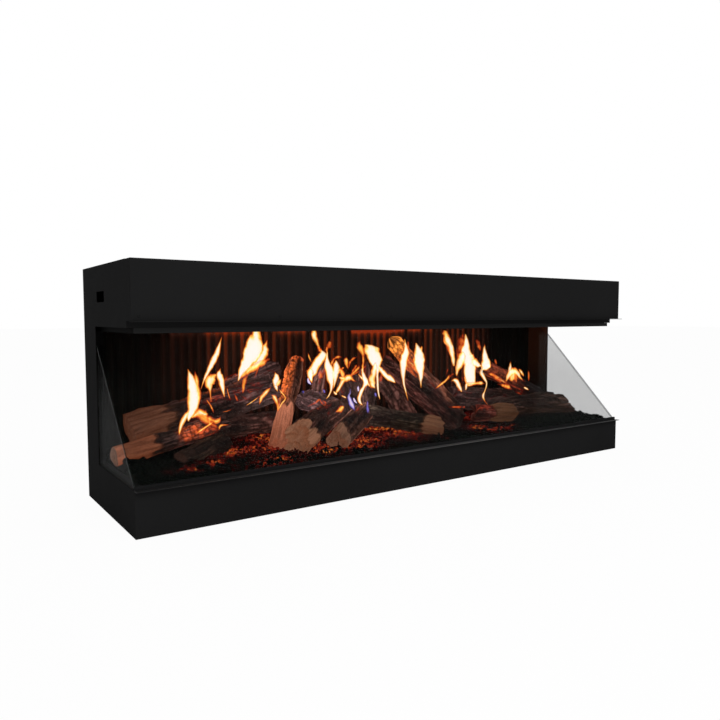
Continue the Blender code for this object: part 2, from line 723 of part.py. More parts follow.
def side_glass(name, side, parent):
    behind = GLASS_FOOT - GLASS_ACROSS * (GLASS_THICKNESS + GAP)
    front = RAIL_REAR + GAP
    rear = POST_FRONT - GAP
    slope = math.tan(GLASS_TILT)
    outline = (
        (front, CHAMBER_FLOOR),
        (rear, CHAMBER_FLOOR),
        (rear, behind.y + (rear - behind.x) * slope),
        (front, behind.y + (front - behind.x) * slope),
    )
    clear = finish("clear_glass", (0.35, 0.38, 0.37), 0.02, alpha=0.18)
    inner = side * (INNER_SIDE - SIDE_GLASS_THICKNESS)
    make_piece(name, prism(outline, 0, inner, side * INNER_SIDE), clear, parent)


def glass_rails(parent):
    front = FRONT + RAIL_SETBACK
    top = CHAMBER_FLOOR + RAIL_HEIGHT
    outline = ((front, CHAMBER_FLOOR), (RAIL_REAR, CHAMBER_FLOOR), (RAIL_REAR - RAIL_RUN, top), (front, top))
    make_piece("glass_front_rail", prism(outline, 0, -INNER_SIDE, INNER_SIDE), black_steel(), parent)
    head = GLASS_FOOT + GLASS_ALONG * (GLASS_LENGTH + GAP)
    start = head.x + (head.y - CHAMBER_TOP) * math.tan(GLASS_TILT)
    low = CHAMBER_TOP - RAIL_HEIGHT
    rear = start + RAIL_RUN + RAIL_FLAT
    outline = ((start, CHAMBER_TOP), (rear, CHAMBER_TOP), (rear, low), (start + RAIL_RUN, low))
    half = SIDE - POST_WIDTH - GAP
    make_piece("glass_top_rail", prism(outline, 0, -half, half), black_steel(), parent)


# Ribbed back wall: upright ribs across the whole chamber
RIB_PITCH = 0.0285
RIB_DEPTH = 0.007
RIB_TOP_SHARE = 0.55
RIB_FOOT_SHARE = 0.80


def ribbed_back_panel(parent):
    half = SIDE - POST_WIDTH - GAP
    valley = WALL_FACE + RIB_DEPTH
    count = int(2 * half / RIB_PITCH)
    outline = [(half, valley + SHEET), (-half, valley + SHEET), (-half, valley)]
    for x in spaced(count, RIB_PITCH):
        foot = RIB_PITCH * RIB_FOOT_SHARE / 2
        crest = RIB_PITCH * RIB_TOP_SHARE / 2
        outline += [(x - foot, valley), (x - crest, WALL_FACE), (x + crest, WALL_FACE), (x + foot, valley)]
    outline.append((half, valley))
    mesh = prism(outline, 2, CHAMBER_FLOOR, CHAMBER_TOP)
    make_piece("ribbed_back_panel", mesh, finish("ribbed_board", (0.03, 0.025, 0.023), 0.6), parent)


def post_cover(name, side, parent):
    inner = SIDE - POST_WIDTH
    path = ((inner, WALL_FACE + RIB_DEPTH + SHEET), (inner, POST_FRONT), (INNER_SIDE, POST_FRONT))
    outline = [(side * x, y) for x, y in sheet_outline(path, SHEET)]
    make_piece(name, prism(outline, 2, CHAMBER_FLOOR, CHAMBER_TOP), black_steel(), parent)


# Fuel bed tray: the base's deck, with two windows for the ember light
TRAY_FLANGE = 0.015
TRAY_FRONT = FRONT + LIP_SEAT + GAP
LIGHT_WINDOW_BAR = 0.040
LIGHT_WINDOW_DEPTH = 0.180
LIGHT_WINDOW_FROM_FRONT = 0.080
LIGHT_WINDOW_PITCH = SIDE - LIGHT_WINDOW_BAR
LIGHT_WINDOW_LENGTH = LIGHT_WINDOW_PITCH - LIGHT_WINDOW_BAR
DIFFUSER_THICKNESS = 0.003
DIFFUSER_MARGIN = 0.015


def fuel_bed_tray(parent):
    foot = BASE_HEIGHT - TRAY_FLANGE
    path = ((INNER_REAR, foot), (INNER_REAR, BASE_HEIGHT), (TRAY_FRONT, BASE_HEIGHT), (TRAY_FRONT, foot))
    mesh = prism(sheet_outline(path, SHEET), 0, -INNER_SIDE, INNER_SIDE)
    tray = make_piece("fuel_bed_tray", mesh, black_steel(), parent)
    windows = bmesh.new()
    front = FRONT + LIGHT_WINDOW_FROM_FRONT
    for x in spaced(2, LIGHT_WINDOW_PITCH):
        low = (x - LIGHT_WINDOW_LENGTH / 2, front, BASE_HEIGHT - SHEET - OVERRUN)
        high = (x + LIGHT_WINDOW_LENGTH / 2, front + LIGHT_WINDOW_DEPTH, BASE_HEIGHT + OVERRUN)
        add_box(windows, low, high)
    cut(tray, windows, "light_windows")


def ember_diffuser(parent):
    half = LIGHT_WINDOW_PITCH / 2 + LIGHT_WINDOW_LENGTH / 2 + DIFFUSER_MARGIN
    front = FRONT + LIGHT_WINDOW_FROM_FRONT - DIFFUSER_MARGIN
    rear = FRONT + LIGHT_WINDOW_FROM_FRONT + LIGHT_WINDOW_DEPTH + DIFFUSER_MARGIN
    top = BASE_HEIGHT - SHEET - GAP
    mesh = box((-half, front, top - DIFFUSER_THICKNESS), (half, rear, top))
    make_piece("ember_diffuser", mesh, finish("amber_diffuser", (0.8, 0.35, 0.12), 0.5), parent)


# Ember lights: a hat-shaped bracket under each window, with a row of light blocks on its top
LIGHT_TOP = 0.060
LIGHT_TOP_WIDTH = 0.050
LIGHT_FOOT = 0.012
LIGHT_END_GAP = 0.010
LIGHT_LENGTH = LIGHT_WINDOW_LENGTH - 2 * LIGHT_END_GAP
LED_COUNT = 12
LED_SIZE = 0.012
LED_HEIGHT = 0.002


def ember_light(name, x, parent):
    centre = FRONT + LIGHT_WINDOW_FROM_FRONT + LIGHT_WINDOW_DEPTH / 2
    web = LIGHT_TOP_WIDTH / 2
    foot = web + LIGHT_FOOT
    low = FLOOR_TOP
    path = (
        (centre - foot, low),
        (centre - web, low),
        (centre - web, LIGHT_TOP),
        (centre + web, LIGHT_TOP),
        (centre + web, low),
        (centre + foot, low),
    )
    mesh = prism(sheet_outline(path, SHEET), 0, x - LIGHT_LENGTH / 2, x + LIGHT_LENGTH / 2)
    bracket = make_piece(name, mesh, finish("light_bracket", (0.8, 0.8, 0.8), 0.4, 1.0), parent)
    lights = bmesh.new()
    for shift in spaced(LED_COUNT, LIGHT_LENGTH / LED_COUNT):
        first = (x + shift - LED_SIZE / 2, centre - LED_SIZE / 2, LIGHT_TOP + SHEET / 2)
        last = (x + shift + LED_SIZE / 2, centre + LED_SIZE / 2, LIGHT_TOP + SHEET + LED_HEIGHT)
        add_box(lights, first, last)
    fuse(bracket, lights, "lights")


# Ember bed: a low mound of ash and embers that the logs are bedded in
BED_FRONT_MARGIN = 0.004
BED_REAR_MARGIN = 0.006
BED_SIDE_MARGIN = 0.006
BED_FRONT = RAIL_REAR + BED_FRONT_MARGIN
BED_REAR = WALL_FACE - BED_REAR_MARGIN
BED_DEPTH = BED_REAR - BED_FRONT
BED_RISE_SHARE = 0.072
BED_HEIGHT = CHAMBER_HEIGHT * BED_RISE_SHARE
BED_DEPTH_SHARES = (0.0, 0.0, 0.20, 0.46, 0.98, 1.0, 1.0)
BED_HEIGHT_SHARES = (0.0, 0.10, 0.24, 0.76, 1.0, 0.9, 0.0)


def ember_bed_mesh(swell, sink):
    """The mound's section, carried along the bed, with its top raised and its foot lowered."""
    outline = []
    for depth_share, height_share in zip(BED_DEPTH_SHARES, BED_HEIGHT_SHARES):
        y = between(BED_FRONT - swell, BED_REAR + swell, depth_share)
        z = CHAMBER_FLOOR + BED_HEIGHT * height_share + (swell if height_share > 0 else -sink)
        outline.append((y, z))
    half = SIDE - POST_WIDTH - BED_SIDE_MARGIN + swell
    return prism(outline, 0, -half, half)


def ember_bed(parent):
    """The bed, and the room that it takes from the logs, which reaches below the lowest of them."""
    charcoal = finish("charcoal", (0.03, 0.02, 0.018), 0.9)
    make_piece("ember_bed", ember_bed_mesh(0, 0), charcoal, parent)
    return make_tool("ember_bed_room", ember_bed_mesh(GAP, 3 * LOG_RADIUS))


# Ceramic logs: each is a bent, tapering stem. Its place is given by shares of the chamber: of the half
# width, of the bed's depth and of the chamber's height. Its radii and its bow are shares of LOG_RADIUS.
LOG_RADIUS_SHARE = 0.0615
LOG_RADIUS = CASE_HEIGHT * LOG_RADIUS_SHARE
LOG_SIDES = 10
LOG_RINGS = 7
LOG_SHARES = {
    "log_crossing": ((0.056, 0.812, 0.623), (0.227, 0.288, 0.085), 0.90, 1.10, 0.20),
    "log_long": ((0.143, 0.920, 0.835), (0.328, 0.550, 0.115), 0.72, 0.95, -0.15),
    "log_stump_large": ((-0.448, 0.277, 0.137), (-0.235, 0.575, 0.280), 1.15, 1.00, 0.10),
    "log_leaning": ((-0.327, 0.812, 0.711), (-0.511, 0.375, 0.065), 0.62, 0.72, 0.25),
    "log_stump_small": ((-0.314, 0.250, 0.080), (-0.142, 0.488, 0.254), 0.70, 0.80, 0.10),
    "log_centre_low": ((-0.124, 0.662, 0.217), (0.118, 0.212, 0.095), 0.83, 0.83, 0.15),
    "log_left_front": ((-0.970, 0.570, 0.095), (-0.653, 0.580, 0.255), 0.62, 0.67, -0.15),
    "log_left_low": ((-0.842, 0.388, 0.064), (-0.658, 0.488, 0.143), 0.75, 0.78, 0.10),
    "log_left_rear": ((-0.905, 0.812, 0.160), (-0.437, 0.762, 0.491), 1.15, 1.05, 0.20),
    "log_right_large": ((0.489, 0.538, 0.143), (0.895, 0.363, 0.159), 0.90, 1.25, 0.20),
    "log_right_short": ((0.352, 0.363, 0.159), (0.537, 0.325, 0.124), 0.78, 0.83, -0.10),
    "log_right_back": ((0.390, 0.788, 0.249), (0.764, 0.775, 0.165), 1.07, 1.02, 0.15),
    "log_right_upper": ((0.610, 0.912, 0.576), (0.910, 0.745, 0.190), 0.85, 0.90, 0.20),
    "log_left_ridge": ((-0.576, 0.870, 0.507), (-0.407, 0.870, 0.650), 0.70, 0.70, 0.10),
    "log_centre_back": ((-0.294, 0.850, 0.367), (-0.050, 0.780, 0.110), 0.88, 0.88, -0.10),
}
LOBE_SHARE = 0.07
RIDGE_SHARE = 0.05
END_SLANT_SHARE = 0.25


def chamber_point(shares):
    x_share, y_share, z_share = shares
    y = between(BED_FRONT, BED_REAR, y_share)
    z = between(CHAMBER_FLOOR, CHAMBER_TOP, z_share)
    return Vector((x_share * INNER_SIDE, y, z))


def log_mesh(length, radius_shares, bow_share, phase, swell):
    """Rings of a stem along Z, whose radius has two lobes and three ridges, and whose ends are slanted."""
    mesh = bmesh.new()
    rings = []
    for i in range(LOG_RINGS):
        along = i / (LOG_RINGS - 1)
        bow = bow_share * LOG_RADIUS * math.sin(math.pi * along)
        plain = between(radius_shares[0], radius_shares[1], along) * LOG_RADIUS
        end = abs(2 * along - 1) ** (LOG_RINGS - 1)
        ring = []
        for k in range(LOG_SIDES):
            angle = 2 * math.pi * k / LOG_SIDES
            lobes = LOBE_SHARE * math.sin(2 * angle + phase)
            ridges = RIDGE_SHARE * math.sin(3 * angle - 2 * phase + math.pi * along)
            radius = plain * (1 + lobes + ridges) + swell
            x = radius * math.cos(angle)
            z = between(-swell, length + swell, along) + x * END_SLANT_SHARE * end * (1 if along > 0.5 else -1)
            ring.append(mesh.verts.new((x + bow, radius * math.sin(angle), z)))
        rings.append(ring)
    for lower, upper in zip(rings, rings[1:]):
        for k in range(LOG_SIDES):
            j = (k + 1) % LOG_SIDES
            mesh.faces.new((lower[k], lower[j], upper[j], upper[k]))
    mesh.faces.new(rings[0])
    mesh.faces.new(rings[-1])
    return mesh


def logs(parent, bed_room):
    """Each log is notched where it crosses a log placed before it, and cut flat where it meets the bed."""
    placed = []
    for i, (name, (start, end, start_share, end_share, bow_share)) in enumerate(LOG_SHARES.items()):
        low = chamber_point(start)
        reach = chamber_point(end) - low
        turn = reach.to_track_quat("Z", "Y").to_euler()
        shape = (reach.length, (start_share, end_share), bow_share, i)
        bark = finish("fired_ceramic", (0.10, 0.06, 0.04), 0.9)
        log = make_piece(name, log_mesh(*shape, 0), bark, parent, low)
        log.rotation_euler = turn
        apply_boolean(log, bed_room, "DIFFERENCE")
        for room in placed:
            apply_boolean(log, room, "DIFFERENCE")
        room = make_tool(f"{name}_room", log_mesh(*shape, GAP), parent, low)
        room.rotation_euler = turn
        placed.append(room)


# Power supply: a closed box on the bottom plate, with a fixing ear at each end
SUPPLY_X_SHARE = 0.52
SUPPLY_X = INNER_SIDE * SUPPLY_X_SHARE
SUPPLY_LENGTH = 0.160
SUPPLY_DEPTH = 0.090
SUPPLY_HEIGHT = 0.045
SUPPLY_EAR = 0.012
ELECTRONICS_FROM_REAR = 0.060


def power_supply(parent):
    ear = SUPPLY_LENGTH / 2 + SUPPLY_EAR
    body = SUPPLY_LENGTH / 2
    outline = (
        (-ear, 0),
        (ear, 0),
        (ear, SHEET),
        (body, SHEET),
        (body, SUPPLY_HEIGHT),
        (-body, SUPPLY_HEIGHT),
        (-body, SHEET),
        (-ear, SHEET),
    )
    place = (SUPPLY_X, INNER_REAR - ELECTRONICS_FROM_REAR - SUPPLY_DEPTH, FLOOR_TOP)
    make_piece("power_supply", prism(outline, 1, 0, SUPPLY_DEPTH), plated_steel(), parent, place)


# Control board: a circuit board on four pads, with its relays, capacitors and terminal row
BOARD_X_SHARE = 0.16
BOARD_X = INNER_SIDE * BOARD_X_SHARE
BOARD_LENGTH = 0.180
BOARD_DEPTH = 0.090
BOARD_THICKNESS = 0.0016
BOARD_PAD = 0.008
BOARD_PAD_HEIGHT = 0.010
COMPONENT_HEIGHT = 0.026
COMPONENT_SHARES = (
    (0.12, 0.25, 0.14, 0.30, 0.60),
    (0.32, 0.25, 0.14, 0.30, 0.60),
    (0.60, 0.50, 0.18, 0.36, 0.85),
    (0.84, 0.60, 0.10, 0.22, 1.00),
    (0.30, 0.86, 0.44, 0.12, 0.45),
)


def control_board(parent):
    place = (BOARD_X, INNER_REAR - ELECTRONICS_FROM_REAR - BOARD_DEPTH, FLOOR_TOP)
    top = BOARD_PAD_HEIGHT + BOARD_THICKNESS
    mesh = box((-BOARD_LENGTH / 2, 0, BOARD_PAD_HEIGHT), (BOARD_LENGTH / 2, BOARD_DEPTH, top))
    board = make_piece("control_board", mesh, finish("circuit_board", (0.02, 0.16, 0.06), 0.45), parent, place)
    parts = bmesh.new()
    inside = BOARD_PAD_HEIGHT + BOARD_THICKNESS / 2
    for x in (-BOARD_LENGTH / 2 + BOARD_PAD, BOARD_LENGTH / 2 - 2 * BOARD_PAD):
        for y in (BOARD_PAD, BOARD_DEPTH - 2 * BOARD_PAD):
            add_box(parts, (x, y, 0), (x + BOARD_PAD, y + BOARD_PAD, inside))
    fuse(board, parts, "pads", parent, place)
    parts = bmesh.new()
    for x_share, y_share, length_share, depth_share, height_share in COMPONENT_SHARES:
        x = between(-BOARD_LENGTH / 2, BOARD_LENGTH / 2, x_share)
        y = BOARD_DEPTH * y_share
        half_length = BOARD_LENGTH * length_share / 2
        half_depth = BOARD_DEPTH * depth_share / 2
        high = top + COMPONENT_HEIGHT * height_share
        low = (x - half_length, y - half_depth, inside)
        add_box(parts, low, (x + half_length, y + half_depth, high))
    fuse(board, parts, "components", parent, place)


# Speaker: it stands on its magnet and plays the crackling of the fire
SPEAKER_X_SHARE = 0.49
SPEAKER_X = -INNER_SIDE * SPEAKER_X_SHARE
SPEAKER_RADIUS = 0.038
SPEAKER_HEIGHT = 0.034
MAGNET_RADIUS = 0.018
MAGNET_HEIGHT = 0.012
RIM_THICKNESS = 0.003
CONE_RADIUS = 0.032


def speaker(parent):
    profile = (
        (0, 0),
        (MAGNET_RADIUS, 0),
        (MAGNET_RADIUS, MAGNET_HEIGHT),
        (CONE_RADIUS, SPEAKER_HEIGHT - RIM_THICKNESS),
        (SPEAKER_RADIUS, SPEAKER_HEIGHT - RIM_THICKNESS),
        (SPEAKER_RADIUS, SPEAKER_HEIGHT),
        (CONE_RADIUS, SPEAKER_HEIGHT),
        (0, SPEAKER_HEIGHT - MAGNET_HEIGHT),
    )
    place = (SPEAKER_X, INNER_REAR - ELECTRONICS_FROM_REAR - SPEAKER_RADIUS, FLOOR_TOP)
    mesh = add_turned(bmesh.new(), profile, BORE_SIDES)
    shade_round(make_piece("speaker", mesh, matt_plastic(), parent, place))


# Power entry: a three-pin inlet and a rocker switch, side by side in the back panel
POWER_ENTRY_Z = 0.056
INLET_FROM_SIDE = 0.165
INLET_X = SIDE - INLET_FROM_SIDE
INLET_WIDTH = 0.028
INLET_HEIGHT = 0.020
INLET_DEPTH = 0.026
INLET_WALL = 0.002
SOCKET_DEPTH = 0.016
ENTRY_FLANGE = 0.008
FLANGE_THICKNESS = 0.003
INLET_PIN = 0.002
INLET_PIN_LENGTH = 0.010
INLET_PIN_PITCH = 0.007
EARTH_PIN_RISE = 0.002
SWITCH_FROM_SIDE = 0.105
SWITCH_X = SIDE - SWITCH_FROM_SIDE
SWITCH_WIDTH = 0.017
SWITCH_HEIGHT = 0.025
SWITCH_DEPTH = 0.020
SWITCH_WALL = 0.0025
ROCKER_CLEARANCE = 0.0004
ROCKER_END_CLEARANCE = 0.0012
ROCKER_TILT = math.radians(8)
ROCKER_CREST = 0.0022
ROCKER_DIP = 0.0008
ROCKER_BACK = 0.0025
PIVOT_DEPTH = 0.0055
PIVOT_ROOM = 0.0065
PIVOT_RADIUS = 0.001
PIVOT_BITE = 0.0014


def entry_body(name, x, width, height, depth, parent):
    """A moulded body that fills its hole in the back panel, with a flange behind the panel."""
    half = width / 2
    rise = height / 2
    outer = REAR - GAP
    low = (x - half, outer - depth, POWER_ENTRY_Z - rise)
    body = make_piece(name, box(low, (x + half, outer, POWER_ENTRY_Z + rise)), matt_plastic(), parent)
    wide = half + ENTRY_FLANGE
    tall = rise + ENTRY_FLANGE
    low = (x - wide, INNER_REAR - FLANGE_THICKNESS, POWER_ENTRY_Z - tall)
    fuse(body, box(low, (x + wide, INNER_REAR, POWER_ENTRY_Z + tall)), "flange")
    return body


def mains_inlet(parent):
    body = entry_body("mains_inlet", INLET_X, INLET_WIDTH, INLET_HEIGHT, INLET_DEPTH, parent)
    half = INLET_WIDTH / 2 - INLET_WALL
    rise = INLET_HEIGHT / 2 - INLET_WALL
    floor = REAR - GAP - SOCKET_DEPTH
    low = (INLET_X - half, floor, POWER_ENTRY_Z - rise)
    cut(body, box(low, (INLET_X + half, REAR + OVERRUN, POWER_ENTRY_Z + rise)), "socket")
    pins = bmesh.new()
    for step in (-1, 0, 1):
        x = INLET_X + step * INLET_PIN_PITCH
        z = POWER_ENTRY_Z + (EARTH_PIN_RISE if step == 0 else -EARTH_PIN_RISE)
        low = (x - INLET_PIN / 2, floor - INLET_PIN, z - INLET_PIN)
        add_box(pins, low, (x + INLET_PIN / 2, floor + INLET_PIN_LENGTH, z + INLET_PIN))
    fuse(body, pins, "pins")


def mains_switch(parent, pivot):
    body = entry_body("switch_body", SWITCH_X, SWITCH_WIDTH, SWITCH_HEIGHT, SWITCH_DEPTH, parent)
    half = SWITCH_WIDTH / 2 - SWITCH_WALL
    rise = SWITCH_HEIGHT / 2 - SWITCH_WALL
    low = (-half, -PIVOT_ROOM, -rise)
    cut(body, box(low, (half, PIVOT_DEPTH + OVERRUN, rise)), "recess", pivot)
    reach = half + PIVOT_BITE + GAP
    cut(body, laid_along_x(rod(bore_radius(PIVOT_RADIUS), -reach, reach, BORE_SIDES)), "pivot_hole", pivot)
    end = rise - ROCKER_END_CLEARANCE
    outline = (
        (-ROCKER_BACK, -end),
        (ROCKER_CREST, -end),
        (ROCKER_DIP, 0),
        (ROCKER_CREST, end),
        (-ROCKER_BACK, end),
        (-2 * ROCKER_BACK, 0),
    )
    width = half - ROCKER_CLEARANCE
    rocker = make_piece("switch_rocker", prism(outline, 0, -width, width), matt_plastic(), pivot)
    reach = half + PIVOT_BITE
    pins = make_tool("switch_rocker_pins", laid_along_x(rod(PIVOT_RADIUS, -reach, reach, SHAFT_SIDES)), pivot)
    apply_boolean(rocker, pins, "UNION")
    rocker.rotation_euler.x = ROCKER_TILT


def build():
    for old in list(bpy.data.objects):
        bpy.data.objects.remove(old, do_unlink=True)
    casing = assembly("casing")
    bottom_plate(casing)
    base_apron(casing)
    side_panel("left_side_panel", -1, casing)
    side_panel("right_side_panel", 1, casing)
    back_panel(casing)
    top_cover(casing)
    header_fascia(casing)
    plaster_lips(casing)

    header = assembly("header")
    header_tray(header)
    screen_bezel(header)
    displays(header)
    display_straps(header)
    warm_air_grille(header)
    heater_housing(header)
    heating_element(header)
    blower = assembly("blower_axis", (0, BLOWER_Y, BLOWER_Z))
    blower_impeller(blower)
    blower_motor(blower)
    blower_bearing(blower)
    for side_name, x in (("left", -FAN_X), ("right", FAN_X)):
        fan = assembly(f"{side_name}_fan_axis", (x, FAN_Y, COVER_UNDERSIDE))
        fan_frame(f"{side_name}_fan_frame", fan)
        fan_rotor(f"{side_name}_fan_rotor", fan)

    chamber = assembly("chamber")
    inclined_glass(chamber)
    side_glass("left_side_glass", -1, chamber)
    side_glass("right_side_glass", 1, chamber)
    glass_rails(chamber)
    ribbed_back_panel(chamber)
    post_cover("left_post_cover", -1, chamber)
    post_cover("right_post_cover", 1, chamber)
    logs(chamber, ember_bed(chamber))

    base = assembly("base")
    fuel_bed_tray(base)
    ember_diffuser(base)
    left, right = spaced(2, LIGHT_WINDOW_PITCH)
    ember_light("left_ember_light", left, base)
    ember_light("right_ember_light", right, base)
    power_supply(base)
    control_board(base)
    speaker(base)
    mains_inlet(base)
    mains_switch(base, assembly("rocker_axis", (SWITCH_X, REAR - PIVOT_DEPTH, POWER_ENTRY_Z)))


build()
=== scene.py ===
"""The looks of the three-sided electric fireplace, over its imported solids.

Metres, +Z up, +X along the case, the front towards -Y. The sections follow the fireplace as it is put
together: the case, its glass, the lining, the embers and logs, the fire, then the parts inside.
"""

import bpy
import numpy as np
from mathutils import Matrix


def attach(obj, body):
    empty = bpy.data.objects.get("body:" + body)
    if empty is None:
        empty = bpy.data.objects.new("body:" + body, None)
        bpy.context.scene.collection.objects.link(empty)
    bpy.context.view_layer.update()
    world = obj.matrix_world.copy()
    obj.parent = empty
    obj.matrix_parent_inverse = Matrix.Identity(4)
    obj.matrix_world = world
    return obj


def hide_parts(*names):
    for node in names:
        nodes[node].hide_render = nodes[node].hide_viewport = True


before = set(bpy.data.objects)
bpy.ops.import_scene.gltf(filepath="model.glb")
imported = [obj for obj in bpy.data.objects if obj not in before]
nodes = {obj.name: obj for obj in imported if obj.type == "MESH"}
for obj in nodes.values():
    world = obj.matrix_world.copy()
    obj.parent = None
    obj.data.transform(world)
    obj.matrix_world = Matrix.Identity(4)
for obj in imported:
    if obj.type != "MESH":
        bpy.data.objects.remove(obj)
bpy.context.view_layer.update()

# The camera stands to the left of the case, a little below the header's top, as in the photograph.

camera = bpy.data.objects.new("camera", bpy.data.cameras.new("camera"))
camera.data.sensor_width = 36.0
camera.data.lens = 32.91
camera.location = (-1.3511, -1.7473, 0.5165)
camera.rotation_euler = (1.50456, 0.0013, -0.60757)
bpy.context.scene.collection.objects.link(camera)
bpy.context.scene.camera = camera
bpy.context.scene.view_settings.view_transform = "Standard"


# The studio: a white floor that runs out to a white surround, and one broad lamp high in front.
# Camera, mirror and glass rays see the surround at full white, and the floor keeps a faint shadow.


class Wire:
    """A value on its way between shader nodes. Sums and products of wires add Math nodes."""

    def __init__(self, tree, socket):
        self.tree = tree
        self.socket = socket

    def node(self, kind, inputs, output=0, stops=None, **settings):
        """A new node's output. Its settings and a ramp's stops are set first, then its inputs."""
        made = self.tree.nodes.new(kind)
        for name, value in settings.items():
            setattr(made, name, value)
        if stops:
            ramp = made.color_ramp.elements
            while len(ramp) < len(stops):
                ramp.new(0.5)
            for element, (place, colour) in zip(ramp, stops):
                element.position = place
                element.color = (*colour, 1.0)
        for name, value in inputs.items():
            if isinstance(value, Wire):
                self.tree.links.new(value.socket, made.inputs[name])
            else:
                made.inputs[name].default_value = value
        return Wire(self.tree, made.outputs[output])

    def maths(self, operation, first, second=0.0):
        """A Math node's result. A wire among its values is linked."""
        return self.node("ShaderNodeMath", {0: first, 1: second}, operation=operation)

    def __add__(self, other):
        return self.maths("ADD", self, other)

    __radd__ = __add__

    def __sub__(self, other):
        return self.maths("SUBTRACT", self, other)

    def __rsub__(self, other):
        return self.maths("SUBTRACT", other, self)

    def __mul__(self, other):
        return self.maths("MULTIPLY", self, other)

    __rmul__ = __mul__

    def __pow__(self, other):
        return self.maths("POWER", self, other)

    def within(self, low, high):
        """0 below low, 1 above high and a smooth rise between. It falls instead where low is above high."""
        limits = {"Value": self, "From Min": low, "From Max": high}
        return self.node("ShaderNodeMapRange", limits, interpolation_type="SMOOTHSTEP")

    def mix(self, first, second):
        """The first colour where this value is 0, and the second where it is 1. One number is a grey."""
        ends = [end if isinstance(end, Wire) else (*np.broadcast_to(end, 3), 1.0) for end in (first, second)]
        return self.node("ShaderNodeMix", {0: self, 6: ends[0], 7: ends[1]}, 2, data_type="RGBA")

    def ramp(self, *stops):
        """A colour for this value, from stops that each give a value and its colour."""
        return self.node("ShaderNodeValToRGB", {0: self}, stops=stops)

    def part(self, axis):
        """This vector's X, Y or Z, for axis 0, 1 or 2."""
        return self.node("ShaderNodeSeparateXYZ", {0: self}, axis)

    def noise(self, scale, detail=3.0, stretch=(1.0, 1.0, 1.0), distortion=0.0):
        """Noise at this place, drawn out along the axes with a small stretch."""
        place = self.node("ShaderNodeMapping", {"Vector": self, "Scale": stretch})
        settings = {"Vector": place, "Scale": scale, "Detail": detail, "Distortion": distortion}
        return self.node("ShaderNodeTexNoise", settings)


def new_finish(name, **fixed):
    """A material with these fixed shader values, its shader, and the place of the surface as a wire. A
    socket's name has an underscore here for each space."""
    material = bpy.data.materials.new(name)
    material.use_nodes = True
    tree = material.node_tree
    shader = tree.nodes["Principled BSDF"]
    for socket, value in fixed.items():
        shader.inputs[socket.replace("_", " ")].default_value = value
    place = Wire(tree, tree.nodes.new("ShaderNodeTexCoord").outputs["Object"])
    return material, shader, place


def feed(shader, **links):
    """Links wires to the shader's sockets, whose names are written as in new_finish."""
    for socket, wire in links.items():
        wire.tree.links.new(wire.socket, shader.inputs[socket.replace("_", " ")])


def bump(height, strength, distance):
    """A surface normal for this height. Distance is the height's full range in metres."""
    settings = {"Height": height, "Strength": strength, "Distance": distance}
    return height.node("ShaderNodeBump", settings)


SURROUND_DIMMING = 0.45
FLOOR_REACH = 30.0
FLOOR_DROP = 0.001
FLOOR_WHITENESS = 0.96

world = bpy.data.worlds.new("studio")
bpy.context.scene.world = world
world.use_nodes = True
rays = Wire(world.node_tree, world.node_tree.nodes.new("ShaderNodeLightPath").outputs["Is Diffuse Ray"])
background = world.node_tree.nodes["Background"]
background.inputs["Color"].default_value = (1.0, 1.0, 1.0, 1.0)
world.node_tree.links.new((1.0 - rays * SURROUND_DIMMING).socket, background.inputs["Strength"])

corners = [(x * FLOOR_REACH, y * FLOOR_REACH, -FLOOR_DROP) for x, y in ((-1, -1), (1, -1), (1, 1), (-1, 1))]
floor_mesh = bpy.data.meshes.new("floor")
floor_mesh.from_pydata(corners, [], [(0, 1, 2, 3)])
floor = bpy.data.objects.new("floor", floor_mesh)
bpy.context.scene.collection.objects.link(floor)
white, floor_shader = new_finish("white_floor", Base_Color=(0.9, 0.9, 0.9, 1), Roughness=0.9)[:2]
seen = Wire(white.node_tree, white.node_tree.nodes.new("ShaderNodeLightPath").outputs["Is Camera Ray"])
glow = seen.node("ShaderNodeEmission", {"Color": (1.0, 1.0, 1.0, 1.0), "Strength": 1.0})
blend = seen.node("ShaderNodeMixShader", {0: seen * FLOOR_WHITENESS, 2: glow})
white.node_tree.links.new(floor_shader.outputs[0], blend.socket.node.inputs[1])
white.node_tree.links.new(blend.socket, white.node_tree.nodes["Material Output"].inputs["Surface"])
floor_mesh.materials.append(white)

lamp = bpy.data.objects.new("lamp_front", bpy.data.lights.new("lamp_front", "AREA"))
lamp.data.size = 2.4
lamp.data.energy = 60.0
lamp.location = (-0.4, -3.0, 2.6)
lamp.rotation_euler = (0.9, 0.0, -0.13)
bpy.context.scene.collection.objects.link(lamp)


# The case is folded steel sheet in a fine matt black powder coat, which has a slight orange-peel grain.
# The case, the header's tray and bezel, the rails, the post covers and the lips all have it.

BEZEL_FRONT = -0.1867
PEEL_SCALE = 900.0
STEEL_NODES = (
    "bottom_plate base_apron left_side_panel right_side_panel back_panel top_cover header_tray "
    "upper_plaster_lip warm_air_grille glass_front_rail glass_top_rail fuel_bed_tray"
).split()


def dress(node_names, material):
    """The CAD nodes take the material in place of their plain one."""
    for name in node_names:
        nodes[name].data.materials.clear()
        nodes[name].data.materials.append(material)


coat, shader, place = new_finish("matt_black_powder_coat", Roughness=0.5, Specular_IOR_Level=0.001)
cloud = place.noise(2.2, 2.0)
grain = place.noise(PEEL_SCALE, 2.0)
patchy = cloud.within(0.35, 0.65) * 0.5 + grain.within(0.3, 0.7) * 0.5
feed(
    shader,
    Base_Color=patchy.mix((0.0118, 0.0118, 0.0120), (0.0142, 0.0142, 0.0144)),
    Roughness=0.46 + 0.12 * place.noise(25.0, 3.0),
    Normal=bump(grain, 0.25, 0.0003),
)
dress(STEEL_NODES, coat)


def orange_peel(place):
    """The coat's fine grain as a surface normal."""
    return bump(place.noise(PEEL_SCALE, 2.0), 0.2, 0.0003)
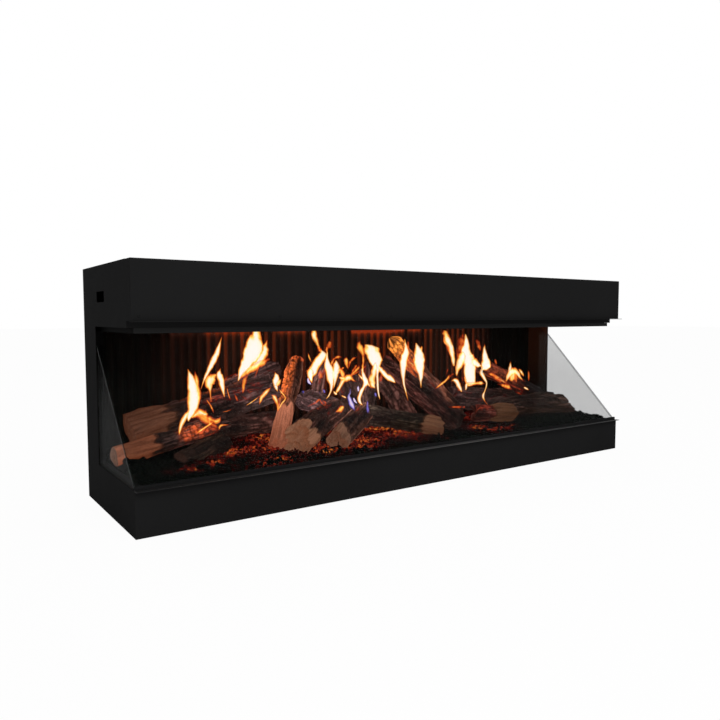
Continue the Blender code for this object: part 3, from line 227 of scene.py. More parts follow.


# Painted light: the screen bezel's front face is a lighter grey than the rest of it, and the lower lip
# has a painted highlight that is palest in the middle.

bezel_coat_painted_light, shader, place = new_finish("bezel_coat_painted_light", Roughness=0.5, Specular_IOR_Level=0.002)
behind_front = place.part(1).within(BEZEL_FRONT + 0.001, BEZEL_FRONT + 0.004)
# Painted light: the bezel's front face is a lighter grey than its other faces.
painted_light_front_grey = place.noise(30.0, 3.0).mix(0.0195, 0.0240)
feed(shader, Base_Color=behind_front.mix(painted_light_front_grey, 0.005), Normal=orange_peel(place))
dress(["screen_bezel"], bezel_coat_painted_light)

lip_coat, shader, place = new_finish("lip_coat_painted_highlight", Roughness=0.45, Specular_IOR_Level=0.12)
# Painted highlight: the lip is paler towards the middle of its length than at its ends.
painted_highlight_middle = place.part(0).within(-0.95, 0.05) * place.part(0).within(0.85, 0.15)
wear_and_painted_highlight = painted_highlight_middle * (0.75 + 0.5 * place.noise(30.0, 3.0))
feed(shader, Base_Color=wear_and_painted_highlight.mix(0.010, 0.060), Normal=orange_peel(place))
dress(["lower_plaster_lip"], lip_coat)


# The header's front is one sheet folded back at the top and at both ends, so its edges are soft bends.
# It hooks over the header tray and six small domed screws hold it along its lower edge.

FASCIA_HALF_WIDTH = 0.925
FASCIA_FRONT = -0.224
FASCIA_REAR = -0.187
FASCIA_LOW = 0.506
FASCIA_HIGH = 0.650
FASCIA_SHEET = 0.0015
BEND_RADIUS = 0.0022
SCREW_X = (-0.906, -0.544, -0.181, 0.181, 0.544, 0.906)
SCREW_Z = 0.518
SCREW_SIDES = 24
# A screw head's profile: radius, and depth from the fascia's front face.
SCREW_PROFILE = (
    (0.0, -0.0004),
    (0.0009, -0.0004),
    (0.0010, -0.0011),
    (0.0022, -0.0011),
    (0.0033, -0.0008),
    (0.0038, -0.0002),
    (0.0039, 0.0003),
)


def new_piece(name, points, faces, material, smooth=True):
    """A mesh piece that moves with the case and takes the material it is given."""
    mesh = bpy.data.meshes.new(name)
    mesh.from_pydata(points, [], faces)
    mesh.materials.append(material)
    mesh.polygons.foreach_set("use_smooth", np.full(len(mesh.polygons), smooth))
    piece = bpy.data.objects.new(name, mesh)
    bpy.context.scene.collection.objects.link(piece)
    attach(piece, "case")
    return piece


def finish_with(piece, kind, **settings):
    """A live modifier of this kind on the piece."""
    modifier = piece.modifiers.new(kind.lower(), kind)
    for name, value in settings.items():
        setattr(modifier, name, value)


corners = [
    (side * FASCIA_HALF_WIDTH, y, z)
    for side in (-1, 1)
    for y in (FASCIA_FRONT, FASCIA_REAR)
    for z in (FASCIA_LOW, FASCIA_HIGH)
]
folds = [(0, 4, 5, 1), (0, 1, 3, 2), (4, 6, 7, 5), (1, 5, 7, 3)]
fascia = new_piece("folded_fascia", corners, folds, coat, smooth=False)
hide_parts("header_fascia")
finish_with(fascia, "BEVEL", width=BEND_RADIUS, segments=3, limit_method="ANGLE")
finish_with(fascia, "SOLIDIFY", thickness=FASCIA_SHEET, offset=-1.0)


def turned_heads(centres, profile, around):
    """Domes turned from one profile about -Y: each ring is the profile's radius times sine and cosine of
    the angle, and the profile's depth from the front face is added to Y."""
    radius, depth = np.array(profile).T
    angle = np.arange(around) / around * 2 * np.pi
    ring = np.stack(
        [
            np.outer(radius, np.cos(angle)),
            np.broadcast_to(depth[:, None], (len(radius), around)),
            np.outer(radius, np.sin(angle)),
        ],
        -1,
    ).reshape(-1, 3)
    row, column = np.meshgrid(np.arange(1, len(radius) - 1), np.arange(around), indexing="ij")
    after = (column + 1) % around
    inner, outer = row * around, (row + 1) * around
    quads = np.stack([inner + column, inner + after, outer + after, outer + column], -1).reshape(-1, 4)
    points, faces = [], []
    for centre in centres:
        start = len(points)
        points += (ring + np.array(centre)).tolist()
        faces += (quads + start).tolist()
        faces.append([start + around + k for k in range(around)][::-1])
        faces.append([start + (len(radius) - 1) * around + k for k in range(around)])
    return points, faces


screw_places = [(x, FASCIA_FRONT, SCREW_Z) for x in SCREW_X]
screw_points, screw_faces = turned_heads(screw_places, SCREW_PROFILE, SCREW_SIDES)
new_piece("fascia_screws", screw_points, screw_faces, coat)


# The glass: a large inclined pane that mirrors the displays above it, and a triangular pane at each side.
# They are 4 mm float glass with ground edges, which show darker. The big pane has a half-mirror tint.

GLASS_TILT = 0.3316
PANE_END = 0.9232
INCLINED_ALPHA = 0.235
SIDE_ALPHA = 0.06
EDGE_ALPHA = 0.35


def glass_finish(name, gloss):
    """Smooth dark green-grey glass, whose Alpha lets one look through its faces."""
    return new_finish(
        name,
        Base_Color=(0.004, 0.006, 0.005, 1),
        Roughness=0.02,
        Specular_IOR_Level=gloss,
        Specular_Tint=(0.86, 1.0, 0.90, 1),
    )


inclined, shader, place = glass_finish("half_mirror_glass", 0.04)
from_end = PANE_END - place.part(0).maths("ABSOLUTE", place.part(0))
streak = place.noise(3.0, 2.0, (1.0, 0.3, 0.3))
feed(shader, Alpha=INCLINED_ALPHA + streak * 0.01 + from_end.within(0.0012, 0.0004) * EDGE_ALPHA)
dress(["inclined_glass"], inclined)

clear, shader, place = glass_finish("clear_glass", 0.5)
slanted_edge = (place.part(2) - place.part(1)).within(GLASS_TILT - 0.0085, GLASS_TILT - 0.0065)
feed(shader, Alpha=SIDE_ALPHA * place.part(2).within(0.48, 0.22) + slanted_edge * EDGE_ALPHA)
dress(["left_side_glass", "right_side_glass"], clear)


# The rear wall is a pressed board with rounded upright ribs, painted black. The fire's image lights it:
# a band right under the header, broken where the displays meet, and a dull red wash between the flames.

WALL_HALF_WIDTH = 0.9047
WALL_LOW = 0.1143
WALL_HIGH = 0.4767
WALL_FACE = 0.201
WALL_BACK = 0.2095
RIB_PITCH = 0.0285
RIB_DEPTH = 0.007
RIB_STEPS = 14
RIB_ROWS = 24
# Each lit stretch of the band under the header: where it starts and ends along X, and how bright it is.
LIT_BAND_SPANS = (
    (-0.70, -0.60, 0.25),
    (-0.60, -0.42, 0.60),
    (-0.345, -0.212, 0.70),
    (-0.040, 0.218, 1.6),
    (0.218, 0.30, 1.1),
    (0.30, 0.36, 0.3),
)
BAND_END_FADE = 0.02


def rib_profile(x):
    """0 on a rib's crest and 1 in the groove between two: a raised cosine, sharpened by a power."""
    return (0.5 - 0.5 * np.cos(2 * np.pi * (x / RIB_PITCH + 0.5))) ** 2.5


def slab_faces(columns, rows):
    """Faces of a closed slab. Its points are a front grid by column and row, then the same grid at its back,
    and a rim joins the two along each of the four edges."""
    number = columns * rows
    column, row = np.meshgrid(np.arange(columns - 1), np.arange(rows - 1), indexing="ij")
    corner = (column * rows + row).reshape(-1)
    front = np.stack([corner, corner + rows, corner + rows + 1, corner + 1], -1)
    low, left = np.arange(columns - 1) * rows, np.arange(rows - 1)
    high, right = low + rows - 1, left + (columns - 1) * rows
    rims = []
    for edge, step, order in (
        (low, rows, [0, 1, 2, 3]), (high, rows, [0, 3, 2, 1]), (left, 1, [0, 3, 2, 1]), (right, 1, [0, 1, 2, 3])
    ):
        rims.append(np.stack([edge, edge + number, edge + number + step, edge + step], -1)[:, order])
    return np.concatenate([front, front[:, ::-1] + number, *rims]).tolist()


columns = int(2 * WALL_HALF_WIDTH / RIB_PITCH * RIB_STEPS)
across = np.linspace(-WALL_HALF_WIDTH, WALL_HALF_WIDTH, columns)
upward = np.linspace(WALL_LOW, WALL_HIGH, RIB_ROWS)
x, z = np.meshgrid(across, upward, indexing="ij")
front_y = WALL_FACE + RIB_DEPTH * rib_profile(x)
front_grid = np.stack([x, front_y, z], -1).reshape(-1, 3)
back_grid = np.stack([x, np.full_like(x, WALL_BACK), z], -1).reshape(-1, 3)

board, shader, place = new_finish(
    "ribbed_black_board", Roughness=0.75, Specular_IOR_Level=0.1, Emission_Strength=1.0
)
x_place, z_place = place.part(0), place.part(2)
phase = x_place * (2 * np.pi / RIB_PITCH)
crest = phase.maths("COSINE", phase).within(-0.6, 0.9)
band = sum(
    x_place.within(low_x, low_x + BAND_END_FADE) * x_place.within(high_x, high_x - BAND_END_FADE) * strength
    for low_x, high_x, strength in LIT_BAND_SPANS
)
under_header = z_place.within(0.428, 0.474) * 0.35 + z_place.within(0.450, 0.470) * 0.65
middle = x_place.within(-0.80, -0.45) * x_place.within(0.68, 0.60)
blotch = place.noise(7.0, 2.0, (1.0, 1.0, 0.35))
stripe = place.noise(26.0, 1.0, (1.0, 0.0, 0.05)).within(0.35, 0.62)
wash = middle * z_place.within(0.10, 0.32) * (blotch * 0.7 + 0.55) * (crest * 0.8 + 0.2)
heat = wash * (0.25 + 0.33 * stripe) + band * under_header * (0.45 + blotch * 1.1)
feed(
    shader,
    Base_Color=place.noise(60.0, 3.0).mix(0.006, (0.011, 0.010, 0.009)),
    Emission_Color=heat.ramp(
        (0.0, (0.0, 0.0, 0.0)),
        (0.28, (0.038, 0.0105, 0.0060)),
        (0.55, (0.135, 0.020, 0.0055)),
        (1.0, (0.44, 0.045, 0.010)),
    ),
    Normal=bump(place.noise(350.0, 2.0), 0.2, 0.0004),
)
rib_points = np.concatenate([front_grid, back_grid])
ribs = new_piece("pressed_ribs", rib_points, slab_faces(columns, RIB_ROWS), board)
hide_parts("ribbed_back_panel")
ribs.data.set_sharp_from_angle(angle=1.0)

# The post covers are coated sheet too. The fire lights the inner face of the right one, more towards its top.

warm_coat, shader, place = new_finish(
    "firelit_coat", Roughness=0.6, Specular_IOR_Level=0.002, Emission_Strength=1.0
)
lit = place.part(0).within(0.90, 0.9055) * place.part(2).within(0.12, 0.40)
feed(
    shader,
    Base_Color=place.noise(40.0, 2.0).mix(0.002, 0.004),
    Emission_Color=lit.mix(0.0, (0.016, 0.0045, 0.002)),
)
dress(["left_post_cover", "right_post_cover"], warm_coat)


# The ember bed: crushed glass, charcoal and clinker chips heaped over the tray, deepest under the logs.
# Amber lamps below the tray shine up through some of the chips. Those along the front edge stay black.

BED_HALF_WIDTH = 0.899
BED_FRONT = -0.2015
BED_REAR = 0.195
BED_FLOOR = 0.1143
BED_HEIGHT = 0.0225
BED_DEPTH_SHARES = (0.0, 0.04, 0.20, 0.46, 0.9, 1.0)
BED_HEIGHT_SHARES = (0.12, 0.22, 0.45, 0.95, 1.05, 0.8)
BED_COLUMNS, BED_ROWS = 460, 96
SOOT = (0.005, 0.004, 0.0035, 1.0)
NO_GLOW = (0.0, 0.0, 0.0, 1.0)
# Each glow is x, y, its reach along x and y, and how hot its middle is.
GLOWS = (
    (-0.740, -0.128, 0.050, 0.020, 1.00),
    (-0.690, -0.105, 0.045, 0.018, 0.95),
    (-0.600, -0.028, 0.065, 0.045, 1.10),
    (-0.500, -0.040, 0.085, 0.050, 0.90),
    (-0.420, 0.080, 0.090, 0.070, 1.15),
    (-0.540, -0.170, 0.095, 0.024, 0.80),
    (-0.505, -0.146, 0.055, 0.030, 1.00),
    (-0.350, -0.140, 0.060, 0.034, 1.05),
    (-0.336, -0.080, 0.035, 0.040, 1.10),
    (-0.230, -0.125, 0.085, 0.044, 0.90),
    (-0.235, 0.045, 0.055, 0.045, 1.05),
    (-0.150, 0.150, 0.090, 0.050, 0.90),
    (-0.167, -0.080, 0.065, 0.050, 1.00),
    (-0.040, 0.030, 0.080, 0.075, 1.20),
    (-0.010, -0.070, 0.075, 0.045, 1.15),
    (-0.018, -0.140, 0.030, 0.022, 1.00),
    (0.100, -0.165, 0.018, 0.012, 0.80),
    (0.290, -0.105, 0.050, 0.028, 1.05),
    (0.340, -0.150, 0.070, 0.030, 0.92),
    (0.426, -0.150, 0.030, 0.018, 0.80),
    (0.300, 0.060, 0.300, 0.070, 0.60),
)


def cell_number(cells, seed):
    """A repeatable number from 0 to 1 for each cell: the fraction left of a large multiple of a sine."""
    value = np.sin(cells @ np.array([127.1, 311.7, 74.7]) + seed * 17.3) * 43758.5453
    return value - np.floor(value)


def rough(points, seed, octaves=1):
    """Smooth noise about 0, from -0.5 to 0.5: the numbers of the eight nearest cell corners, blended by
    nearness, plus the same at twice the scale and half the strength for each further octave."""
    total = 0.0
    for octave in range(octaves):
        scaled = points * 2.0**octave + 11.3 * octave
        base = np.floor(scaled)
        near = scaled - base
        near = near * near * (3 - 2 * near)
        for corner in np.ndindex(2, 2, 2):
            weight = np.prod(np.where(np.array(corner) == 1, near, 1 - near), axis=-1)
            total = total + weight * (cell_number(base + corner, seed + octave) - 0.5) * 0.5**octave
    return total


def bed_height(x, y):
    """The heap's height over the tray: its profile from front to rear, with slow and quick lumps added."""
    share = (y - BED_FRONT) / (BED_REAR - BED_FRONT)
    profile = np.interp(share, BED_DEPTH_SHARES, BED_HEIGHT_SHARES) * BED_HEIGHT
    place = np.stack([x, y, np.zeros_like(x)], -1)
    lumps = rough(place * 16.0, 3) * 0.35 + rough(place * 70.0, 5) * 0.20
    ends = np.clip((BED_HALF_WIDTH - np.abs(x)) / 0.012, 0.25, 1.0)
    return profile * (1.0 + lumps) * ends


def bed_heat(x, y):
    """How hot the bed is at a place: the largest of the glows, each a bell curve along x and y."""
    heat = np.zeros_like(x)
    for glow_x, glow_y, reach_x, reach_y, middle in GLOWS:
        bell = np.exp(-(((x - glow_x) / reach_x) ** 2) - ((y - glow_y) / reach_y) ** 2)
        heat = np.maximum(heat, middle * bell)
    return heat


def heat_colour(heat):
    """Glowing colour for a heat from 0 to 1: black, deep red, orange red, orange, then pale yellow."""
    stops = (0.0, 0.25, 0.5, 0.75, 1.0, 1.4)
    red = np.interp(heat, stops, (0.0, 0.085, 0.42, 0.95, 1.15, 1.30))
    green = np.interp(heat, stops, (0.0, 0.005, 0.035, 0.17, 0.42, 0.85))
    blue = np.interp(heat, stops, (0.0, 0.004, 0.015, 0.030, 0.06, 0.28))
    return np.stack([red, green, blue, np.ones_like(red)], -1)


def paint(piece, **attributes):
    """Point colours under the given names, four numbers to a point."""
    for name, colours in attributes.items():
        layer = piece.data.attributes.new(name, "FLOAT_COLOR", "POINT")
        layer.data.foreach_set("color", np.asarray(colours, float).reshape(-1))


def painted(place, name):
    """The point colour of this name, as a wire."""
    return place.node("ShaderNodeAttribute", {}, "Color", attribute_name=name)


def multiplied(first, second):
    """The product of two colours."""
    settings = {"data_type": "RGBA", "blend_type": "MULTIPLY"}
    return first.node("ShaderNodeMix", {0: 1.0, 6: first, 7: second}, 2, **settings)


chip_finish, shader, place = new_finish(
    "clinker_and_charcoal", Roughness=0.6, Specular_IOR_Level=0.005, Emission_Strength=1.0
)
mottle = place.noise(420.0, 3.0)
feed(
    shader,
    Base_Color=multiplied(painted(place, "tint"), mottle.mix(0.35, 1.0)),
    Emission_Color=multiplied(painted(place, "glow"), mottle.within(0.36, 0.58).mix((0.25, 0.12, 0.08), 1.0)),
    Roughness=0.55 + 0.4 * place.noise(900.0, 2.0),
    Normal=bump(mottle, 0.5, 0.001),
)

x, y = np.meshgrid(
    np.linspace(-BED_HALF_WIDTH, BED_HALF_WIDTH, BED_COLUMNS),
    np.linspace(BED_FRONT, BED_REAR, BED_ROWS),
    indexing="ij",
)
top_grid = np.stack([x, y, BED_FLOOR + bed_height(x, y)], -1).reshape(-1, 3)
under_grid = np.stack([x, y, np.full_like(x, BED_FLOOR)], -1).reshape(-1, 3)
bed_points = np.concatenate([top_grid, under_grid])
ground = new_piece("ember_bed_heap", bed_points, slab_faces(BED_COLUMNS, BED_ROWS), chip_finish)
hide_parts("ember_bed")
speck = rough(top_grid * 150.0, 9, 2)
heat = np.clip(bed_heat(x, y).reshape(-1) * (0.45 + 1.5 * speck) - 0.12, 0, 1.0)
paint(
    ground,
    tint=np.tile(SOOT, (len(bed_points), 1)),
    glow=np.concatenate([heat_colour(heat), np.tile(NO_GLOW, (len(under_grid), 1))]),
)


# Loose chips of glass, charcoal and clinker lie over the heap. Those over the lamps glow, more or less.

CHIPS = 8200
CHIP_SIZE = 0.0046
CHIP_MARGIN = 0.004
CHIP_BLACK = (0.004, 0.0035, 0.0035)
CHIP_GREY = (0.018, 0.013, 0.010)
STONE_POINTS = 12


def unit_stone():
    """Twelve points and twenty faces of a regular icosahedron of radius 1."""
    golden = (1 + 5**0.5) / 2
    points = []
    for a in (-1, 1):
        for b in (-golden, golden):
            points += [(0, a, b), (a, b, 0), (b, 0, a)]
    points = np.array(points) / (1 + golden**2) ** 0.5
    gap = np.linalg.norm(points[:, None] - points[None], axis=-1)
    edge = np.sort(gap[0])[1] * 1.01
    faces = []
    for a in range(STONE_POINTS):
        for b in range(a + 1, STONE_POINTS):
            for c in range(b + 1, STONE_POINTS):
                if gap[a, b] < edge and gap[b, c] < edge and gap[a, c] < edge:
                    normal = np.cross(points[b] - points[a], points[c] - points[a])
                    faces.append((a, b, c) if normal @ points[a] > 0 else (a, c, b))
    return points, np.array(faces)


def scattered_stones(centres, sizes, source):
    """Stones at the centres: the unit stone with its points pushed in and out at random, squashed along
    three axes by random shares and turned by a random rotation."""
    points, faces = unit_stone()
    number = len(centres)
    shape = points[None] * source.uniform(0.72, 1.2, (number, STONE_POINTS, 1))
    shape = shape * (sizes[:, None] * source.uniform(0.55, 1.35, (number, 3)))[:, None]
    turn = source.normal(size=(number, 4))
    turn = turn / np.linalg.norm(turn, axis=1, keepdims=True)
    vector = turn[:, None, 1:]
    twice = 2 * np.cross(np.broadcast_to(vector, shape.shape), shape)
    shape = shape + turn[:, None, :1] * twice + np.cross(np.broadcast_to(vector, shape.shape), twice)
    shape = shape + centres[:, None]
    shape[..., 0] = np.clip(shape[..., 0], -BED_HALF_WIDTH, BED_HALF_WIDTH)
    shape[..., 1] = np.clip(shape[..., 1], BED_FRONT, BED_REAR)
    shape[..., 2] = np.maximum(shape[..., 2], BED_FLOOR + 0.0002)
    starts = STONE_POINTS * np.arange(number)[:, None, None]
    return shape.reshape(-1, 3), (faces[None] + starts).reshape(-1, 3).tolist()


source = np.random.default_rng(41)
chip_x = source.uniform(-BED_HALF_WIDTH + CHIP_MARGIN, BED_HALF_WIDTH - CHIP_MARGIN, CHIPS)
chip_y = source.uniform(BED_FRONT + CHIP_MARGIN, BED_REAR - CHIP_MARGIN, CHIPS)
chip_size = CHIP_SIZE * source.uniform(0.55, 1.55, CHIPS)
chip_z = BED_FLOOR + bed_height(chip_x, chip_y) + chip_size * source.uniform(-0.2, 0.45, CHIPS)
chip_points, chip_faces = scattered_stones(np.stack([chip_x, chip_y, chip_z], -1), chip_size, source)
chips = new_piece("ember_bed_chips", chip_points, chip_faces, chip_finish, smooth=False)
chip_heat = bed_heat(chip_x, chip_y) * source.uniform(0.0, 1.0, CHIPS) ** 1.1
dull = source.uniform(0.0, 1.0, CHIPS)[:, None]
near_front = np.clip((chip_y - BED_FRONT - 0.03) / 0.06, 0.25, 1.0)[:, None]
chip_tint = (1 - dull) * np.array(CHIP_BLACK) + dull**3 * near_front * np.array(CHIP_GREY)
chip_tint = np.concatenate([chip_tint, np.ones((CHIPS, 1))], -1)
paint(
    chips,
    tint=np.repeat(chip_tint, STONE_POINTS, axis=0),
    glow=np.repeat(heat_colour(np.clip(chip_heat, 0, 1.25)), STONE_POINTS, axis=0),
)


# Larger lumps of black coal lie over the chips along the front edge and at both ends, with one pale pebble.

COALS = 620
COAL_SIZE = 0.0078
COAL_MARGIN = 0.01
# This share of the coals lies at the two ends, from here outwards.
COAL_END_SHARE = 0.36
COAL_END_START = 0.835
COAL_END_MARGIN = 0.008
COAL_COLOUR = (0.0042, 0.0040, 0.0036, 1.0)
COAL_GLASS_GAP = 0.008
PALE_PEBBLE_PLACE = (-0.229, -0.190, 0.1275)
PALE_PEBBLE_SIZE = 0.0062
PALE_PEBBLE_COLOUR = (0.11, 0.12, 0.10)

coal_x = source.uniform(-BED_HALF_WIDTH + COAL_MARGIN, BED_HALF_WIDTH - COAL_MARGIN, COALS)
coal_y = BED_FRONT + COAL_MARGIN + 0.075 * source.uniform(0.0, 1.0, COALS) ** 1.4
at_end = source.uniform(0.0, 1.0, COALS) < COAL_END_SHARE
end_x = source.uniform(COAL_END_START, BED_HALF_WIDTH - COAL_END_MARGIN, COALS)
coal_x = np.where(at_end, np.sign(coal_x) * end_x, coal_x)
coal_y = np.where(at_end, source.uniform(BED_FRONT + COAL_MARGIN, BED_REAR - COAL_MARGIN, COALS), coal_y)
coal_size = COAL_SIZE * source.uniform(0.6, 1.25, COALS)
coal_z = BED_FLOOR + bed_height(coal_x, coal_y) + coal_size * 0.25
coal_places = np.stack([coal_x, coal_y, coal_z], -1)
keep = coal_z + coal_size * 1.5 < coal_y + GLASS_TILT - COAL_GLASS_GAP
coal_places = np.concatenate([[PALE_PEBBLE_PLACE], coal_places[keep]])
coal_size = np.concatenate([[PALE_PEBBLE_SIZE], coal_size[keep]])
coal_points, coal_faces = scattered_stones(coal_places, coal_size, source)
coals = new_piece("black_coals", coal_points, coal_faces, chip_finish, smooth=False)
coal_tint = np.tile(COAL_COLOUR, (len(coal_points), 1))
coal_tint[:STONE_POINTS, :3] = PALE_PEBBLE_COLOUR
paint(coals, tint=coal_tint, glow=np.tile(NO_GLOW, (len(coal_points), 1)))


# The logs are cast ceramic, coloured by hand: raw split wood at some ends, bark and cracked char elsewhere.
# Each lies on the bed or on the logs below it. Where the fire's image touches a log, painted firelight
# makes its cracks and some patches glow.

LOG_RADIUS = 0.039975
LOG_AROUND = 104
LOG_ALONG = 170
LOG_CAP = 12
CHAR = (0.020, 0.016, 0.016)
# Noise cells to the metre: twice across a log, then along it.
LUMP_CELLS = np.array([34, 34, 17])
FIBRE_CELLS = np.array([210, 210, 16])
RIDGE_CELLS = np.array([95, 95, 13])
WAVE_CELLS = np.array([60, 60, 20])
CRACK_CELLS = np.array([62, 62, 40])
GRAIN_CELLS = np.array([60, 60, 6])
SCORCH_CELLS = np.array([26, 26, 12])
FLICKER_CELLS = np.array([50, 50, 30])
# A crack is this wide, as a share of a cell. Growth rings have this many radians to the metre.
CRACK_WIDTH = 0.16
RING_RATE = 1500
# Painted light: how much of its own colour a log glows with everywhere, and more where the fire's image is
# near.
FIRELIGHT_ALL_OVER = np.array([0.92, 0.44, 0.29])
FIRELIGHT_NEAR = np.array([1.25, 0.95, 0.90])
# Where the fire's image lights the logs near it: x, y, z, its reach, and how strongly.
FIRE_PLACES = (
    (-0.67, 0.03, 0.25, 0.11, 0.5),
    (-0.45, 0.09, 0.31, 0.13, 3.0),
    (-0.21, 0.08, 0.26, 0.13, 4.4),
    (-0.09, 0.08, 0.24, 0.12, 3.5),
    (0.10, 0.05, 0.27, 0.14, 1.3),
    (0.21, 0.07, 0.29, 0.11, 3.4),
    (0.43, 0.08, 0.25, 0.13, 3.2),
    (0.64, 0.07, 0.24, 0.10, 0.5),
)
